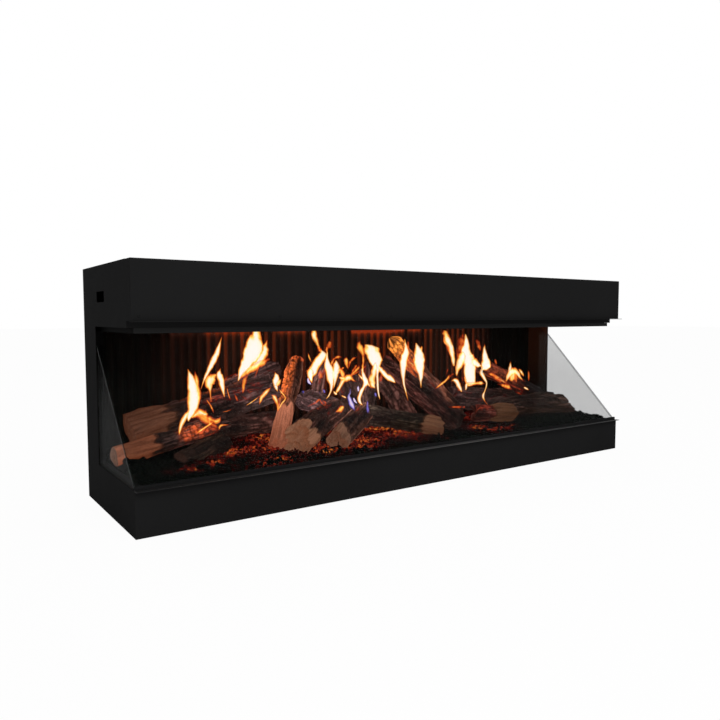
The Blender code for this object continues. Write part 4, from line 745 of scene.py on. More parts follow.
# Each log: its two ends, two radii and bow as in the solid; how far its ends swell out; split faces as
# (angle, share of the radius); how ragged its two ends are; raw wood as (from, to) along it, with a lean
# of that border from side to side; the slant of both end faces; colours of wood, of its ends where they
# differ, and of bark; then cracks that glow with painted firelight as (along, reach, angle, reach in
# degrees, glow level), and even patches of painted light as (along, reach, angle, reach in degrees, colour).
# Angle 0 is the log's upper side, and 90 is a quarter turn on from there about the log's own axis.
LOGS = {
    "log_crossing": dict(
        ends=((0.0420, 0.1333, 0.3521), (0.2096, -0.0873, 0.1451)), radii=(0.90, 1.10), bow=0.20,
        splits=((60, 0.80), (150, 0.86)), ragged=(0.25, 0.35), bark=(0.050, 0.024, 0.022),
        glows=((0.05, 0.10, 0, 70, 0.45), (0.35, 0.25, -60, 50, 0.25)),
    ),
    "log_long": dict(
        ends=((0.1290, 0.1633, 0.4200), (0.3028, 0.0166, 0.1560)), radii=(0.74, 0.95), bow=-0.15, swell=0.75,
        splits=(), ragged=(0.05, 0.35), bark=(0.085, 0.040, 0.025),
        glows=((0.30, 0.18, 100, 70, 0.90), (0.55, 0.2, 80, 50, 0.40)),
        painted_light_patches=(
            (0.0, 0.12, 60, 110, (1.25, 0.52, 0.085)), (0.10, 0.14, 90, 400, (0.95, 0.20, 0.032)),
            (0.32, 0.12, 100, 50, (0.75, 0.15, 0.02)),
        ),
    ),
    "log_stump_large": dict(
        ends=((-0.4136, -0.0917, 0.1639), (-0.2170, 0.0265, 0.2158)), radii=(1.26, 1.00), bow=0.10,
        splits=((70, 0.82), (-30, 0.88)), ragged=(0.95, 0.55), raw=((-0.4, 0.17),), lean=0.05,
        slant=(0.40, 0.0), wood=(0.285, 0.197, 0.132), bark=(0.066, 0.040, 0.034),
        glows=((0.62, 0.22, 10, 60, 0.75), (0.80, 0.15, 60, 50, 0.40)),
    ),
    "log_leaning": dict(
        ends=((-0.3040, 0.1205, 0.3740), (-0.4630, -0.0490, 0.1395)), radii=(0.62, 0.76), bow=0.0, swell=0.45,
        splits=((-35, 0.84),), ragged=(0.25, 0.4), raw=((0.60, 1.2),), wood=(0.335, 0.172, 0.110),
        bark=(0.058, 0.028, 0.018), glows=((0.0, 0.1, -60, 60, 0.5),),
        painted_light_patches=((0.22, 0.33, 54, 66, (1.80, 0.35, 0.072)), (0.0, 0.03, 0, 400, (1.0, 0.14, 0.026))),
    ),
    "log_stump_small": dict(
        ends=((-0.2899, -0.1024, 0.1433), (-0.1311, -0.0080, 0.2063)), radii=(0.88, 0.88), bow=0.10,
        splits=((60, 0.84), (-40, 0.86)), ragged=(0.80, 0.50), raw=((-0.4, 0.12),), lean=-0.10,
        wood=(0.190, 0.138, 0.100), bark=(0.120, 0.074, 0.056), glows=((0.8, 0.15, 10, 60, 0.5),),
    ),
    "log_centre_low": dict(
        ends=((-0.1145, 0.0610, 0.1929), (0.1089, -0.1174, 0.1487)), radii=(0.83, 0.83), bow=0.15,
        splits=((40, 0.82), (110, 0.86)), ragged=(0.4, 0.35), raw=((0.80, 1.2),), wood=(0.142, 0.097, 0.062),
        bark=(0.030, 0.030, 0.024), glows=((0.15, 0.2, 40, 60, 0.3),),
    ),
    "log_left_front": dict(
        ends=((-0.9035, 0.0245, 0.1475), (-0.6029, 0.0285, 0.2067)), radii=(0.70, 0.67), bow=-0.15, swell=0.40,
        splits=((55, 0.92), (130, 0.92)), ragged=(0.06, 0.45), raw=((-0.2, 0.36),), wood=(0.20, 0.10, 0.058),
        end_wood=(0.090, 0.066, 0.048), bark=(0.040, 0.030, 0.030),
        glows=((0.86, 0.14, 100, 40, 0.60), (0.66, 0.18, 150, 30, 0.60)),
        painted_light_patches=((0.660, 0.100, 60, 44, (1.20, 0.165, 0.026)), (0.80, 0.08, 90, 34, (0.80, 0.10, 0.018))),
    ),
    "log_left_low": dict(
        ends=((-0.7573, -0.0530, 0.1300), (-0.6075, -0.0080, 0.1640)), radii=(0.66, 0.76), bow=0.10,
        splits=((60, 0.85),), ragged=(0.35, 0.35), raw=((-0.2, 0.06),), wood=(0.034, 0.022, 0.018),
        bark=(0.022, 0.017, 0.012), glows=((0.72, 0.30, 20, 35, 0.36),),
    ),
    "log_left_rear": dict(
        ends=((-0.8355, 0.1205, 0.1850), (-0.4034, 0.1006, 0.2922)), radii=(1.50, 1.10), bow=0.20,
        splits=((35, 0.86), (110, 0.84)), ragged=(0.12, 0.45), raw=((-0.2, 0.26),), wood=(0.128, 0.078, 0.053),
        bark=(0.038, 0.028, 0.030),
        glows=((0.42, 0.10, 110, 60, 0.60), (0.62, 0.20, 40, 30, 0.65), (0.80, 0.18, 60, 60, 0.55)),
        painted_light_patches=((0.90, 0.12, 118, 40, (0.050, 0.038, 0.036)), (0.60, 0.22, 0, 9, (0.30, 0.05, 0.01))),
    ),
    "log_right_large": dict(
        ends=((0.4514, 0.0118, 0.1661), (0.7940, -0.0516, 0.1714)), radii=(0.90, 1.22), bow=0.20,
        splits=((20, 0.86), (120, 0.84)), ragged=(0.35, 1.10), bark=(0.040, 0.033, 0.029), glows=(),
        slant=(0.0, -1.0),
    ),
    "log_right_short": dict(
        ends=((0.3250, -0.0576, 0.1719), (0.4958, -0.0726, 0.1592)), radii=(0.78, 0.83), bow=-0.10,
        splits=((40, 0.84), (120, 0.84)), ragged=(0.35, 0.25), raw=((0.40, 1.2),), wood=(0.078, 0.052, 0.030),
        bark=(0.070, 0.028, 0.024), glows=((0.2, 0.35, 20, 40, 0.72), (0.3, 0.2, 80, 40, 0.30)),
        painted_light_patches=((0.16, 0.24, 30, 34, (0.30, 0.035, 0.014)),),
    ),
    "log_right_back": dict(
        ends=((0.3600, 0.1110, 0.2045), (0.7053, 0.1058, 0.1741)), radii=(1.07, 1.02), bow=0.15,
        splits=((30, 0.86), (100, 0.86)), ragged=(0.4, 0.4), bark=(0.022, 0.015, 0.016),
        glows=((0.12, 0.2, 30, 60, 0.55), (0.45, 0.2, 90, 60, 0.45), (0.7, 0.15, 60, 50, 0.4)),
    ),
    "log_right_upper": dict(
        ends=((0.5632, 0.1601, 0.3230), (0.8401, 0.0939, 0.1832)), radii=(0.85, 0.90), bow=0.20,
        splits=((50, 0.86), (130, 0.86)), ragged=(0.5, 0.5), raw=((0.74, 1.2),), wood=(0.012, 0.012, 0.015),
        bark=(0.075, 0.030, 0.022),
        glows=((0.30, 0.30, 140, 45, 0.95), (0.60, 0.25, 130, 50, 0.75), (0.20, 0.15, 40, 60, 0.45)),
        painted_light_patches=((0.34, 0.26, 80, 52, (0.40, 0.075, 0.032)),),
    ),
    "log_left_ridge": dict(
        ends=((-0.5318, 0.1435, 0.2980), (-0.3757, 0.1435, 0.3499)), radii=(0.70, 0.70), bow=0.10,
        splits=((60, 0.84),), ragged=(0.6, 0.6), bark=(0.034, 0.024, 0.026),
        glows=((0.8, 0.2, 70, 60, 0.55), (0.5, 0.3, 110, 50, 0.30)),
        painted_light_patches=((0.35, 0.5, 0, 14, (0.42, 0.07, 0.012)),),
    ),
    "log_centre_back": dict(
        ends=((-0.2714, 0.1355, 0.2473), (-0.0462, 0.1078, 0.1542)), radii=(0.88, 0.88), bow=-0.10,
        splits=((60, 0.84),), ragged=(0.5, 0.5), bark=(0.056, 0.042, 0.047),
        glows=((0.15, 0.25, 20, 60, 0.60), (0.5, 0.3, 60, 60, 0.55)),
    ),
}


def closed_skin(count, around):
    """Faces over rings of points that are all joined round, with a fan to one more point at each end."""
    i, k = np.meshgrid(np.arange(count - 1), np.arange(around), indexing="ij")
    after = (k + 1) % around
    quads = np.stack([i * around + k, i * around + after, (i + 1) * around + after, (i + 1) * around + k], -1)
    k = np.arange(around)
    after = (k + 1) % around
    pole = np.full(around, count * around)
    last_ring = (count - 1) * around
    first = np.stack([pole, after, k], -1)
    last = np.stack([pole + 1, last_ring + k, last_ring + after], -1)
    return quads.reshape(-1, 4).tolist() + first.tolist() + last.tolist()


def crack_depth(points, seed):
    """1 in a crack and 0 away from it: cells grow from a scattered point in each unit cube, and the crack
    runs where the nearest and the second nearest of those points are as far away."""
    base = np.floor(points)
    nearest = np.full(points.shape[:-1], 9.0)
    second = np.full(points.shape[:-1], 9.0)
    for step in np.ndindex(3, 3, 3):
        cell = base + np.array(step) - 1
        spot = cell + np.stack([cell_number(cell, seed + axis * 5.1) for axis in range(3)], -1)
        far = np.linalg.norm(points - spot, axis=-1)
        second = np.minimum(second, np.maximum(nearest, far))
        nearest = np.minimum(nearest, far)
    return np.clip(1 - (second - nearest) / CRACK_WIDTH, 0, 1)


def smooth_step(value, low, high):
    """0 at low and 1 at high, with a smooth rise between: 3 s squared less 2 s cubed."""
    share = np.clip((value - low) / (high - low), 0, 1)
    return share * share * (3 - 2 * share)


def patch_cover(along, angle, middle, reach, hot_angle, angle_reach, power):
    """1 in the middle of a patch on a log. It falls off along and round the log as e to the minus this power
    of the way out, where 2 is a bell curve and 4 is flatter with a steeper edge."""
    off = np.degrees(np.angle(np.exp(1j * (angle - np.radians(hot_angle)))))
    return np.exp(-(((along - middle) / reach) ** power) - (off / angle_reach) ** power)


def log_surface(
    ends, radii, bow, splits, ragged, bark, glows, seed, raw=(), wood=(0.0, 0.0, 0.0), end_wood=None,
    painted_light_patches=(), slant=(0.0, 0.0), lean=0.0, swell=0.10, steps=LOG_ALONG, around=LOG_AROUND,
):
    """A bent stem whose radius changes with the angle and the place along it.

    The radius is the taper, less where a flat split face cuts it, times one plus slow lumps, fibres that run
    along the log, and cracks where it is charred. Each end is a disc of shrinking rings, pushed along the
    axis by its own ragged noise. Returns points, colours and glow for every ring, and the two poles last."""
    start, end = np.array(ends)
    length = np.linalg.norm(end - start)
    axis = (end - start) / length
    above = np.array([0, 0, 1.0]) - axis[2] * axis
    above /= np.linalg.norm(above)
    aside = np.cross(axis, above)
    cap_in = np.linspace(0.06, 0.97, LOG_CAP)
    along = np.concatenate([np.zeros(LOG_CAP), np.linspace(0, 1, steps), np.ones(LOG_CAP)])
    shrink = np.concatenate([cap_in, np.ones(steps), cap_in[::-1]])[:, None]
    along, angle = np.meshgrid(along, np.arange(around) / around * 2 * np.pi, indexing="ij")
    taper = (radii[0] * (1 - along) + radii[1] * along) * LOG_RADIUS
    round_place = np.stack([np.cos(angle), np.sin(angle)], -1)
    stretched = np.concatenate([round_place * taper[..., None], (along * length)[..., None]], -1)

    # The radius: slow lumps, flat splits, then fibres all over, and ridges and cracks where bark is left.
    lumps = rough(stretched * LUMP_CELLS + seed, seed, 2) * 0.30
    radius = 1.0 + lumps
    for split_angle, share in splits:
        turn = angle - np.radians(split_angle) + 0.25 * rough(stretched * 9.0, seed + 3)
        facing = np.maximum(np.cos(turn), 0.15)
        radius = np.minimum(radius, share * (1 + 0.5 * lumps) / facing)
    fibre = rough(stretched * FIBRE_CELLS + 5, seed + 7, 2)
    ridge = 0.5 - np.abs(rough(stretched * RIDGE_CELLS + 9, seed + 11, 2)) * 2.0
    wavy = along + lean * np.cos(angle) + 0.14 * rough(stretched * WAVE_CELLS, seed + 13, 2)
    bare = np.zeros_like(along)
    for low, high in raw:
        span = smooth_step(wavy, low - 0.025, low + 0.025) * smooth_step(wavy, high + 0.03, high - 0.03)
        bare = np.maximum(bare, span)
    burnt = 1 - bare
    cracks = crack_depth(stretched * CRACK_CELLS + 3, seed + 17)
    radius = radius + (0.04 + 0.06 * burnt) * fibre + burnt * (0.13 * (ridge - 0.3) - 0.08 * cracks)
    radius = radius + 0.05 * rough(stretched * 330.0, seed + 19)
    reach = radius * taper * shrink
    section = np.stack([reach * np.cos(angle), reach * np.sin(angle)], -1)

    # The way along the axis: each end is pushed by ragged noise, by its slant and by its dome.
    flat_place = np.concatenate([section, np.zeros_like(along)[..., None]], -1)
    jag = []
    for i, (roughness, tilt) in enumerate(zip(ragged, slant)):
        broken = rough(flat_place * 48.0 + 7 * i, seed + 23 + i, 3) * 1.5
        broken = broken + 0.25 * np.cos(angle - 2.2 * i) * shrink
        jag.append(roughness * LOG_RADIUS * broken + tilt * section[..., 0])
    dome = swell * taper * (1 - shrink**2)
    run = along * length + (jag[0] - dome) * (1 - along) ** 5 + (jag[1] + dome) * along**5
    sag = bow * LOG_RADIUS * np.sin(np.pi * along)
    points = start + run[..., None] * axis + section[..., :1] * above
    points = points + (section[..., 1:] - sag[..., None]) * aside

    # The colours: grained wood, growth rings on the ends, and scorched bark that is worn on its ridges.
    grain = np.clip(0.5 + 1.3 * fibre + 0.5 * rough(stretched * GRAIN_CELLS, seed + 29), 0, 1)
    on_end = np.broadcast_to(shrink < 1, along.shape)
    rings = 0.5 + 0.5 * np.sin(shrink * taper * RING_RATE + 6 * lumps)
    end_grain = 0.35 + 0.4 * rings + 0.6 * rough(flat_place * 160.0, seed + 31)
    grain = np.where(on_end, end_grain, grain)[..., None]
    wood_colour = np.where(on_end[..., None], end_wood or wood, wood) * (0.74 + 0.42 * grain)
    wood_colour = wood_colour * (1 - 0.18 * np.clip(-fibre * 3, 0, 1)[..., None])
    scorch = np.clip(0.5 + 1.4 * rough(stretched * SCORCH_CELLS, seed + 37, 2), 0, 1)[..., None]
    bark_colour = np.array(bark) * scorch + np.array(CHAR) * (1 - scorch)
    ashy = smooth_step(ridge, 0.30, 0.5)[..., None] * smooth_step(scorch, 0.35, 0.7)
    wear_and_painted_highlight = 0.62 + 0.80 * smooth_step(ridge, 0.05, 0.45)[..., None]
    bark_colour = bark_colour * wear_and_painted_highlight * (0.75 + 0.9 * ashy) * (1 - 0.75 * cracks[..., None])
    edge = np.clip(burnt * (1 - burnt) * 4, 0, 1)[..., None]
    tint = wood_colour * bare[..., None] + bark_colour * burnt[..., None]
    tint = tint * (1 - 0.55 * edge)

    # The glow is painted light: cracks lit by the fire's image, the fire's light on the surface, and even
    # patches.
    heat = np.zeros_like(along)
    for *patch, painted_glow_level in glows:
        heat = np.maximum(heat, painted_glow_level * patch_cover(along, angle, *patch, 2))
    flicker = 0.55 + 1.1 * rough(stretched * FLICKER_CELLS, seed + 41, 2)
    streaks = 0.62 * cracks + 1.3 * np.clip(fibre, -0.1, 1) + 0.30
    whole = np.maximum(heat - 0.55, 0) * (0.8 + 1.6 * fibre)
    heat = np.clip(heat * streaks * flicker * 1.35 + whole, 0, 1.35)
    near = np.zeros_like(along)
    for *fire, fire_reach, strength in FIRE_PLACES:
        near = np.maximum(near, strength * np.exp(-(((points - fire) / fire_reach) ** 2).sum(axis=-1)))
    glow = heat_colour(np.clip(heat * 1.15 - 0.17, 0, 1.3))
    glow[..., :3] += tint * (FIRELIGHT_ALL_OVER + near[..., None] * FIRELIGHT_NEAR)
    weave = np.clip(0.80 + 1.5 * fibre + 1.6 * rough(stretched * 110.0, seed + 43, 2), 0.05, 1.5)
    for *patch, colour in painted_light_patches:
        lit = patch_cover(along, angle, *patch, 4) * weave * (1 - 0.85 * cracks)
        glow[..., :3] += lit[..., None] * np.array(colour)
    tint = np.concatenate([tint, np.ones_like(along)[..., None]], -1)
    poles = [points[0].mean(axis=0), points[-1].mean(axis=0)]
    tint, glow = (np.concatenate([layer.reshape(-1, 4), layer[[0, -1], 0]]) for layer in (tint, glow))
    return np.concatenate([points.reshape(-1, 3), poles]), tint, glow


ceramic, shader, place = new_finish(
    "painted_fired_ceramic", Roughness=0.8, Specular_IOR_Level=0.2, Emission_Strength=1.0
)
fine = place.noise(520.0, 4.0)
feed(
    shader,
    Base_Color=multiplied(painted(place, "tint"), fine.within(0.25, 0.75).mix(0.62, 1.25)),
    Emission_Color=multiplied(painted(place, "glow"), fine.within(0.30, 0.62).mix((0.45, 0.30, 0.22), 1.1)),
    Roughness=0.68 + 0.25 * fine,
    Normal=bump(fine, 0.5, 0.0012),
)

log_faces = closed_skin(LOG_ALONG + 2 * LOG_CAP, LOG_AROUND)
for seed, (name, shape) in enumerate(LOGS.items()):
    points, tint, glow = log_surface(seed=float(seed), **shape)
    log = new_piece(name.replace("log", "ceramic_log"), points, log_faces, ceramic)
    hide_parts(name)
    paint(log, tint=tint, glow=glow)


# Small charred stumps of the same ceramic stand in the bed behind the middle logs, where the fire is densest,
# and a burnt log lies behind the left ones.

STUMP_ALONG = 70
STUMP_AROUND = 48
FIRST_STUMP_SEED = 30
BURNT = (0.060, 0.038, 0.036)
STUMPS = {
    "charred_stump_left": dict(
        ends=((-0.2080, 0.1280, 0.1330), (-0.2050, 0.1300, 0.3520)), radii=(0.62, 0.48), bow=0.3,
        splits=((60, 0.8),), ragged=(0.2, 0.9), glows=((0.85, 0.25, 90, 90, 0.8),),
    ),
    "charred_stump_middle": dict(
        ends=((-0.0900, 0.1150, 0.1330), (-0.1120, 0.1120, 0.2950)), radii=(1.20, 0.95), bow=0.4,
        splits=((60, 0.8), (200, 0.75)), ragged=(0.2, 1.3),
        glows=((0.9, 0.25, 90, 120, 0.7), (0.4, 0.3, 160, 60, 0.4)),
    ),
    "charred_stump_right": dict(
        ends=((-0.0300, 0.1180, 0.1330), (-0.0250, 0.1080, 0.3050)), radii=(1.05, 0.80), bow=-0.4,
        splits=((80, 0.8), (250, 0.78)), ragged=(0.2, 1.4), glows=((0.85, 0.2, 60, 90, 0.6),),
    ),
    "charred_branch": dict(
        ends=((0.1640, 0.1220, 0.1350), (0.0440, 0.1240, 0.3050)), radii=(1.00, 0.85), bow=0.2,
        splits=((40, 0.8), (130, 0.8)), ragged=(0.2, 0.8), glows=((0.6, 0.4, 120, 50, 0.5),),
    ),
    "charred_log_rear": dict(
        ends=((-0.6000, 0.1520, 0.1640), (-0.3500, 0.1500, 0.1780)), radii=(0.80, 0.92), bow=0.2,
        splits=((50, 0.82), (140, 0.82)), ragged=(0.4, 0.5), glows=((0.85, 0.12, 60, 60, 0.35),),
    ),
}
stump_faces = closed_skin(STUMP_ALONG + 2 * LOG_CAP, STUMP_AROUND)
for seed, (name, shape) in enumerate(STUMPS.items(), FIRST_STUMP_SEED):
    points, tint, glow = log_surface(
        seed=float(seed), bark=BURNT, steps=STUMP_ALONG, around=STUMP_AROUND, **shape
    )
    stump = new_piece(name, points, stump_faces, ceramic)
    paint(stump, tint=tint, glow=glow)


# The fire is light: the displays' image, which the inclined glass shows among the logs. It is built as thin
# glowing tongues. Each stands just in front of the log it licks and leans back along the rear of the glass.

FLAME_ROWS = 44
FLAME_AROUND = 16
FLAME_CLEARANCE = 0.016
FLAME_BEND = 0.030
LEAST_HALF_WIDTH = 0.0006
MOST_THICKNESS = 0.0025
# A tongue at least this wide to each side has its full heat in the middle.
FULL_HALF_WIDTH = 0.0085
# Each tongue: its heat (below 0 for blue), the place in Y of its foot, then points along it as X, Z and
# half width, all in millimetres.
TONGUES = (
    (1, -12, ((-716, 230, 2.2), (-712, 245, 10.2), (-704, 265, 16), (-700, 289, 17.4), (-694, 319, 14.8),
        (-691, 346, 10.6), (-691, 368, 1.6))),
    (0.75, -10, ((-684, 278, 5.1), (-680, 298, 8.1), (-680, 322, 6.8), (-675, 345, 6.2), (-672, 371, 1.6))),
    (0.8, -12, ((-705, 241, 7.2), (-683, 251, 10.7), (-667, 245, 8.1), (-666, 262, 1.9))),
    (0.66, -14, ((-677, 246, 5.6), (-658, 232, 8.4), (-638, 223, 7.9), (-627, 227, 6.1), (-620, 239, 1.5))),
    (0.62, -14, ((-694, 261, 7.2), (-688, 245, 9.2), (-670, 231, 10.5), (-648, 215, 7.8), (-625, 198, 2.1))),
    (0.9, -16, ((-698, 194, 1.8), (-679, 204, 3.3), (-656, 217, 3.7), (-639, 228, 1.9))),
    (0.8, -16, ((-630, 199, 2.3), (-622, 210, 3.7), (-591, 209, 1.1))),
    (1, 60, ((-651, 308, 1.5), (-636, 341, 4.6), (-619, 369, 7.4), (-596, 397, 9.6), (-573, 426, 6.4),
        (-549, 457, 1.1))),
    (0.86, 55, ((-623, 270, 1.6), (-625, 300, 4.7), (-626, 322, 14.8), (-619, 338, 15.9), (-604, 347, 6.7))),
    (0.95, 55, ((-581, 281, 2), (-585, 305, 6.7), (-589, 327, 9.5), (-594, 346, 10.3), (-588, 366, 1.6))),
    (0.8, 50, ((-575, 308, 1.6), (-571, 289, 2), (-563, 265, 1.2))),
    (0.7, 50, ((-638, 277, 1.5), (-625, 256, 2.6), (-616, 231, 1.5))),
    (1, 75, ((-528, 324, 2.5), (-516, 349, 10.6), (-496, 378, 19.4), (-473, 404, 26.2), (-450, 434, 26.1),
        (-430, 470, 15.8))),
    (0.85, 78, ((-479, 362, 10.4), (-454, 380, 14.3), (-433, 403, 13.5), (-419, 422, 10.6), (-403, 443, 2.1))),
    (0.66, 72, ((-523, 332, 5.6), (-495, 352, 9.5), (-464, 366, 10.9), (-436, 378, 7.8), (-422, 385, 3.2))),
    (0.62, 60, ((-521, 283, 2.1), (-517, 308, 6.2), (-510, 330, 6.6), (-496, 349, 2.4))),
    (0.6, 66, ((-480, 326, 1.7), (-468, 351, 3.8), (-457, 369, 2.4))),
    (1, 52, ((-408, 286, 2.2), (-414, 308, 8.8), (-410, 327, 11.4), (-414, 348, 1.8))),
    (0.75, 50, ((-412, 302, 4.3), (-404, 313, 7.7), (-393, 326, 1.7))),
    (0.8, -10, ((-439, 232, 1.3), (-441, 255, 5.9), (-449, 277, 7.4), (-460, 285, 2.4))),
    (0.95, -12, ((-442, 236, 1.3), (-428, 255, 2.9), (-414, 272, 3.4), (-425, 290, 2.6), (-434, 306, 1.8))),
    (0.78, 40, ((-476, 251, 1.3), (-469, 272, 6.8), (-451, 289, 6.7), (-431, 306, 1.7))),
    (0.9, 40, ((-520, 252, 0.8), (-500, 262, 1.6), (-475, 277, 2))),
    (0.8, 35, ((-596, 240, 0.8), (-580, 242, 1.5), (-562, 248, 0.8))),
    (0.84, 95, ((-224, 400, 2), (-224, 418, 5.3), (-225, 437, 10.1), (-223, 454, 10.3), (-217, 468, 9.9),
        (-212, 479, 7.2))),
    (1, 28, ((88, 223, 1.7), (78, 256, 3.3), (71, 287, 5.1), (71, 327, 11.8), (87, 361, 15.3), (121, 394, 12.2),
        (145, 434, 2.5))),
    (0.6, 62, ((123, 385, 4.3), (145, 411, 5), (162, 436, 1.2))),
    (1, -10, ((118, 269, 1.7), (121, 296, 6.3), (132, 325, 15.1), (150, 354, 21.1), (172, 384, 23),
        (185, 419, 3.5))),
    (0.7, 64, ((161, 334, 4.6), (150, 357, 7.1), (150, 378, 1.8))),
    (0.8, 64, ((182, 383, 6.2), (201, 401, 5.2), (209, 410, 1.7))),
    (0.52, 60, ((-576, 326, 1.2), (-572, 335, 3.1), (-558, 341, 3.4), (-538, 345, 2.7), (-529, 338, 1.2))),
    (0.42, 60, ((-459, 372, 1.6), (-438, 380, 4.9), (-424, 384, 4.3), (-415, 377, 1.4))),
    (0.4, 40, ((-561, 297, 1.2), (-549, 274, 3.1), (-544, 262, 1.2))),
    (0.95, 40, ((-291, 306, 1.6), (-295, 323, 8.6), (-286, 342, 16), (-270, 360, 15.3), (-247, 376, 15.7),
        (-227, 391, 14.5), (-227, 403, 6.8), (-228, 411, 2.1))),
    (0.86, 34, ((-294, 310, 3.5), (-299, 328, 11.2), (-297, 343, 12.2), (-304, 352, 2.1))),
    (0.8, 50, ((-279, 369, 1.8), (-281, 383, 2.9), (-278, 402, 1.5))),
    (0.6, 60, ((-230, 420, 2.9), (-228, 408, 6.9), (-224, 399, 5.2))),
    (1, 35, ((-244, 252, 1.3), (-233, 262, 2.6), (-224, 279, 4.4), (-221, 301, 10.3), (-224, 320, 14.9),
        (-224, 343, 16.6), (-224, 364, 10.8), (-217, 383, 5.7), (-207, 399, 3.8), (-201, 414, 2.5))),
    (0.5, 55, ((-210, 397, 2.8), (-200, 410, 4.4), (-187, 419, 7.9), (-175, 431, 8.2), (-172, 441, 3.5))),
    (0.97, 35, ((-214, 285, 2.1), (-209, 306, 6.4), (-205, 328, 12.2), (-196, 346, 14.7), (-191, 363, 10),
        (-188, 375, 3.3))),
    (0.7, 36, ((-213, 356, 2.8), (-202, 370, 5.2), (-186, 380, 5.6), (-169, 383, 5.5), (-155, 380, 2.5))),
    (0.62, 36, ((-187, 346, 3.1), (-175, 346, 3.5), (-160, 352, 1.5))),
    (0.8, 28, ((-212, 266, 2.3), (-205, 276, 5.6), (-192, 291, 6.5), (-181, 305, 8.6), (-167, 314, 10.3),
        (-153, 316, 10.4), (-139, 306, 5.8), (-114, 296, 1.8))),
    (0.82, 32, ((-173, 311, 6.4), (-180, 329, 5.5), (-184, 346, 3.2))),
    (0.7, 30, ((-154, 314, 5.4), (-141, 327, 5.5), (-124, 338, 4.8), (-107, 349, 5.2), (-109, 359, 3.2))),
    (0.62, 32, ((-145, 325, 3.3), (-133, 339, 4.4), (-119, 351, 4.6), (-111, 360, 1.9))),
    (0.72, 34, ((-152, 343, 2.5), (-152, 359, 6.5), (-148, 372, 8.5), (-138, 385, 2.7))),
    (0.64, 32, ((-149, 348, 2.6), (-137, 364, 4.4), (-116, 376, 4.1), (-82, 384, 2.1))),
    (0.56, 30, ((-106, 336, 1.8), (-87, 347, 2.7), (-71, 355, 1.5))),
    (1, -46, ((-156, 234, 2), (-166, 249, 6.8), (-161, 264, 7), (-149, 278, 6.2), (-132, 291, 6.7),
        (-117, 305, 10), (-116, 320, 8.6), (-111, 335, 6.4), (-98, 351, 4))),
    (0.72, 22, ((-106, 328, 7.2), (-95, 349, 4.4), (-80, 372, 4.7), (-71, 391, 8.3), (-68, 408, 13.5),
        (-62, 424, 8.2), (-48, 436, 1.3))),
    (0.96, 20, ((-122, 327, 1.8), (-111, 314, 4.7), (-96, 303, 6.3), (-85, 290, 5), (-74, 276, 1.4))),
    (1, 28, ((-34, 237, 1.1), (-39, 256, 3.3), (-42, 279, 4.4), (-42, 302, 4.8), (-41, 324, 6.6),
        (-37, 346, 15.2), (-36, 368, 27), (-29, 387, 29.9), (-21, 403, 29.9), (-17, 412, 28.2))),
    (0.84, 22, ((-58, 276, 2.4), (-68, 292, 14.6), (-66, 310, 13.9), (-56, 332, 10.6), (-45, 349, 9.2),
        (-36, 361, 4.5))),
    (0.34, 30, ((-33, 297, 6.2), (-25, 312, 7.7), (-30, 328, 3.4))),
    (0.92, 22, ((-29, 347, 5.4), (-21, 330, 9.5), (-6, 314, 9.4), (11, 304, 10.3), (25, 293, 5.8),
        (32, 285, 1.5))),
    (-1, -55, ((-188, 293, 1.7), (-194, 277, 5.1), (-205, 265, 6.2), (-204, 249, 7.7), (-198, 235, 8.1),
        (-192, 220, 2.3))),
    (-1.5, 12, ((-152, 251, 2.4), (-148, 242, 4.2), (-139, 233, 1.6))),
    (-0.8, -51, ((-136, 247, 1.7), (-140, 234, 5.1), (-139, 218, 5.8), (-138, 202, 2.1))),
    (-1.4, 36, ((-307, 322, 2.9), (-305, 311, 4.7), (-297, 302, 1.5))),
    (-0.6, 30, ((-329, 276, 2.9), (-329, 282, 4.7), (-329, 287, 1.6))),
    (-0.6, 30, ((-270, 270, 3), (-269, 276, 3.6), (-268, 282, 1.3))),
    (-0.7, 30, ((-250, 273, 2.9), (-253, 279, 4.1), (-258, 285, 1.3))),
    (-0.8, 16, ((-57, 249, 2.1), (-61, 257, 4.5), (-64, 264, 1.4))),
    (-1.5, 16, ((-129, 272, 3.2), (-130, 281, 3.9), (-129, 288, 1.4))),
    (0.74, -42, ((-256, 220, 2.6), (-241, 225, 10.3), (-230, 233, 7.1), (-226, 240, 1.6))),
    (0.5, -46, ((-362, 242, 1.4), (-345, 249, 3), (-326, 255, 3.8), (-312, 262, 3.9), (-308, 255, 3.4),
        (-299, 247, 4.4), (-287, 238, 1.2))),
    (0.45, -20, ((-290, 256, 2), (-280, 250, 2.9), (-273, 242, 1.5))),
    (1, -10, ((-212, 265, 2), (-201, 260, 3.2), (-192, 255, 1.5))),
    (0.46, 40, ((-267, 319, 4.6), (-254, 331, 12.3), (-239, 344, 7.7), (-240, 349, 1.8))),
    (0.36, 30, ((-222, 275, 2.4), (-219, 290, 4), (-222, 303, 2))),
    (0.86, 70, ((343, 331, 6.3), (343, 351, 9.7), (341, 375, 12.4), (343, 399, 15.6), (345, 418, 18.5),
        (354, 440, 17.2), (364, 459, 17.3))),
    (0.52, 72, ((339, 364, 7.3), (334, 392, 10), (336, 416, 11.8), (342, 435, 8.6))),
    (0.96, 56, ((421, 258, 23.4), (416, 284, 27.3), (412, 312, 29.4), (413, 337, 28.6), (409, 362, 31),
        (415, 384, 24.1), (430, 405, 14.9), (446, 427, 11.5), (458, 446, 3.5))),
    (0.82, 54, ((342, 295, 3.5), (345, 312, 9.2), (356, 333, 16.3), (372, 354, 17.9), (384, 374, 15.4),
        (385, 388, 5.1))),
    (0.5, 60, ((356, 359, 4.3), (368, 380, 10.9), (386, 393, 11), (410, 414, 13.6), (433, 436, 11.3),
        (453, 452, 3.2))),
    (0.9, 52, ((431, 348, 16.9), (448, 332, 11.5), (471, 326, 5.8))),
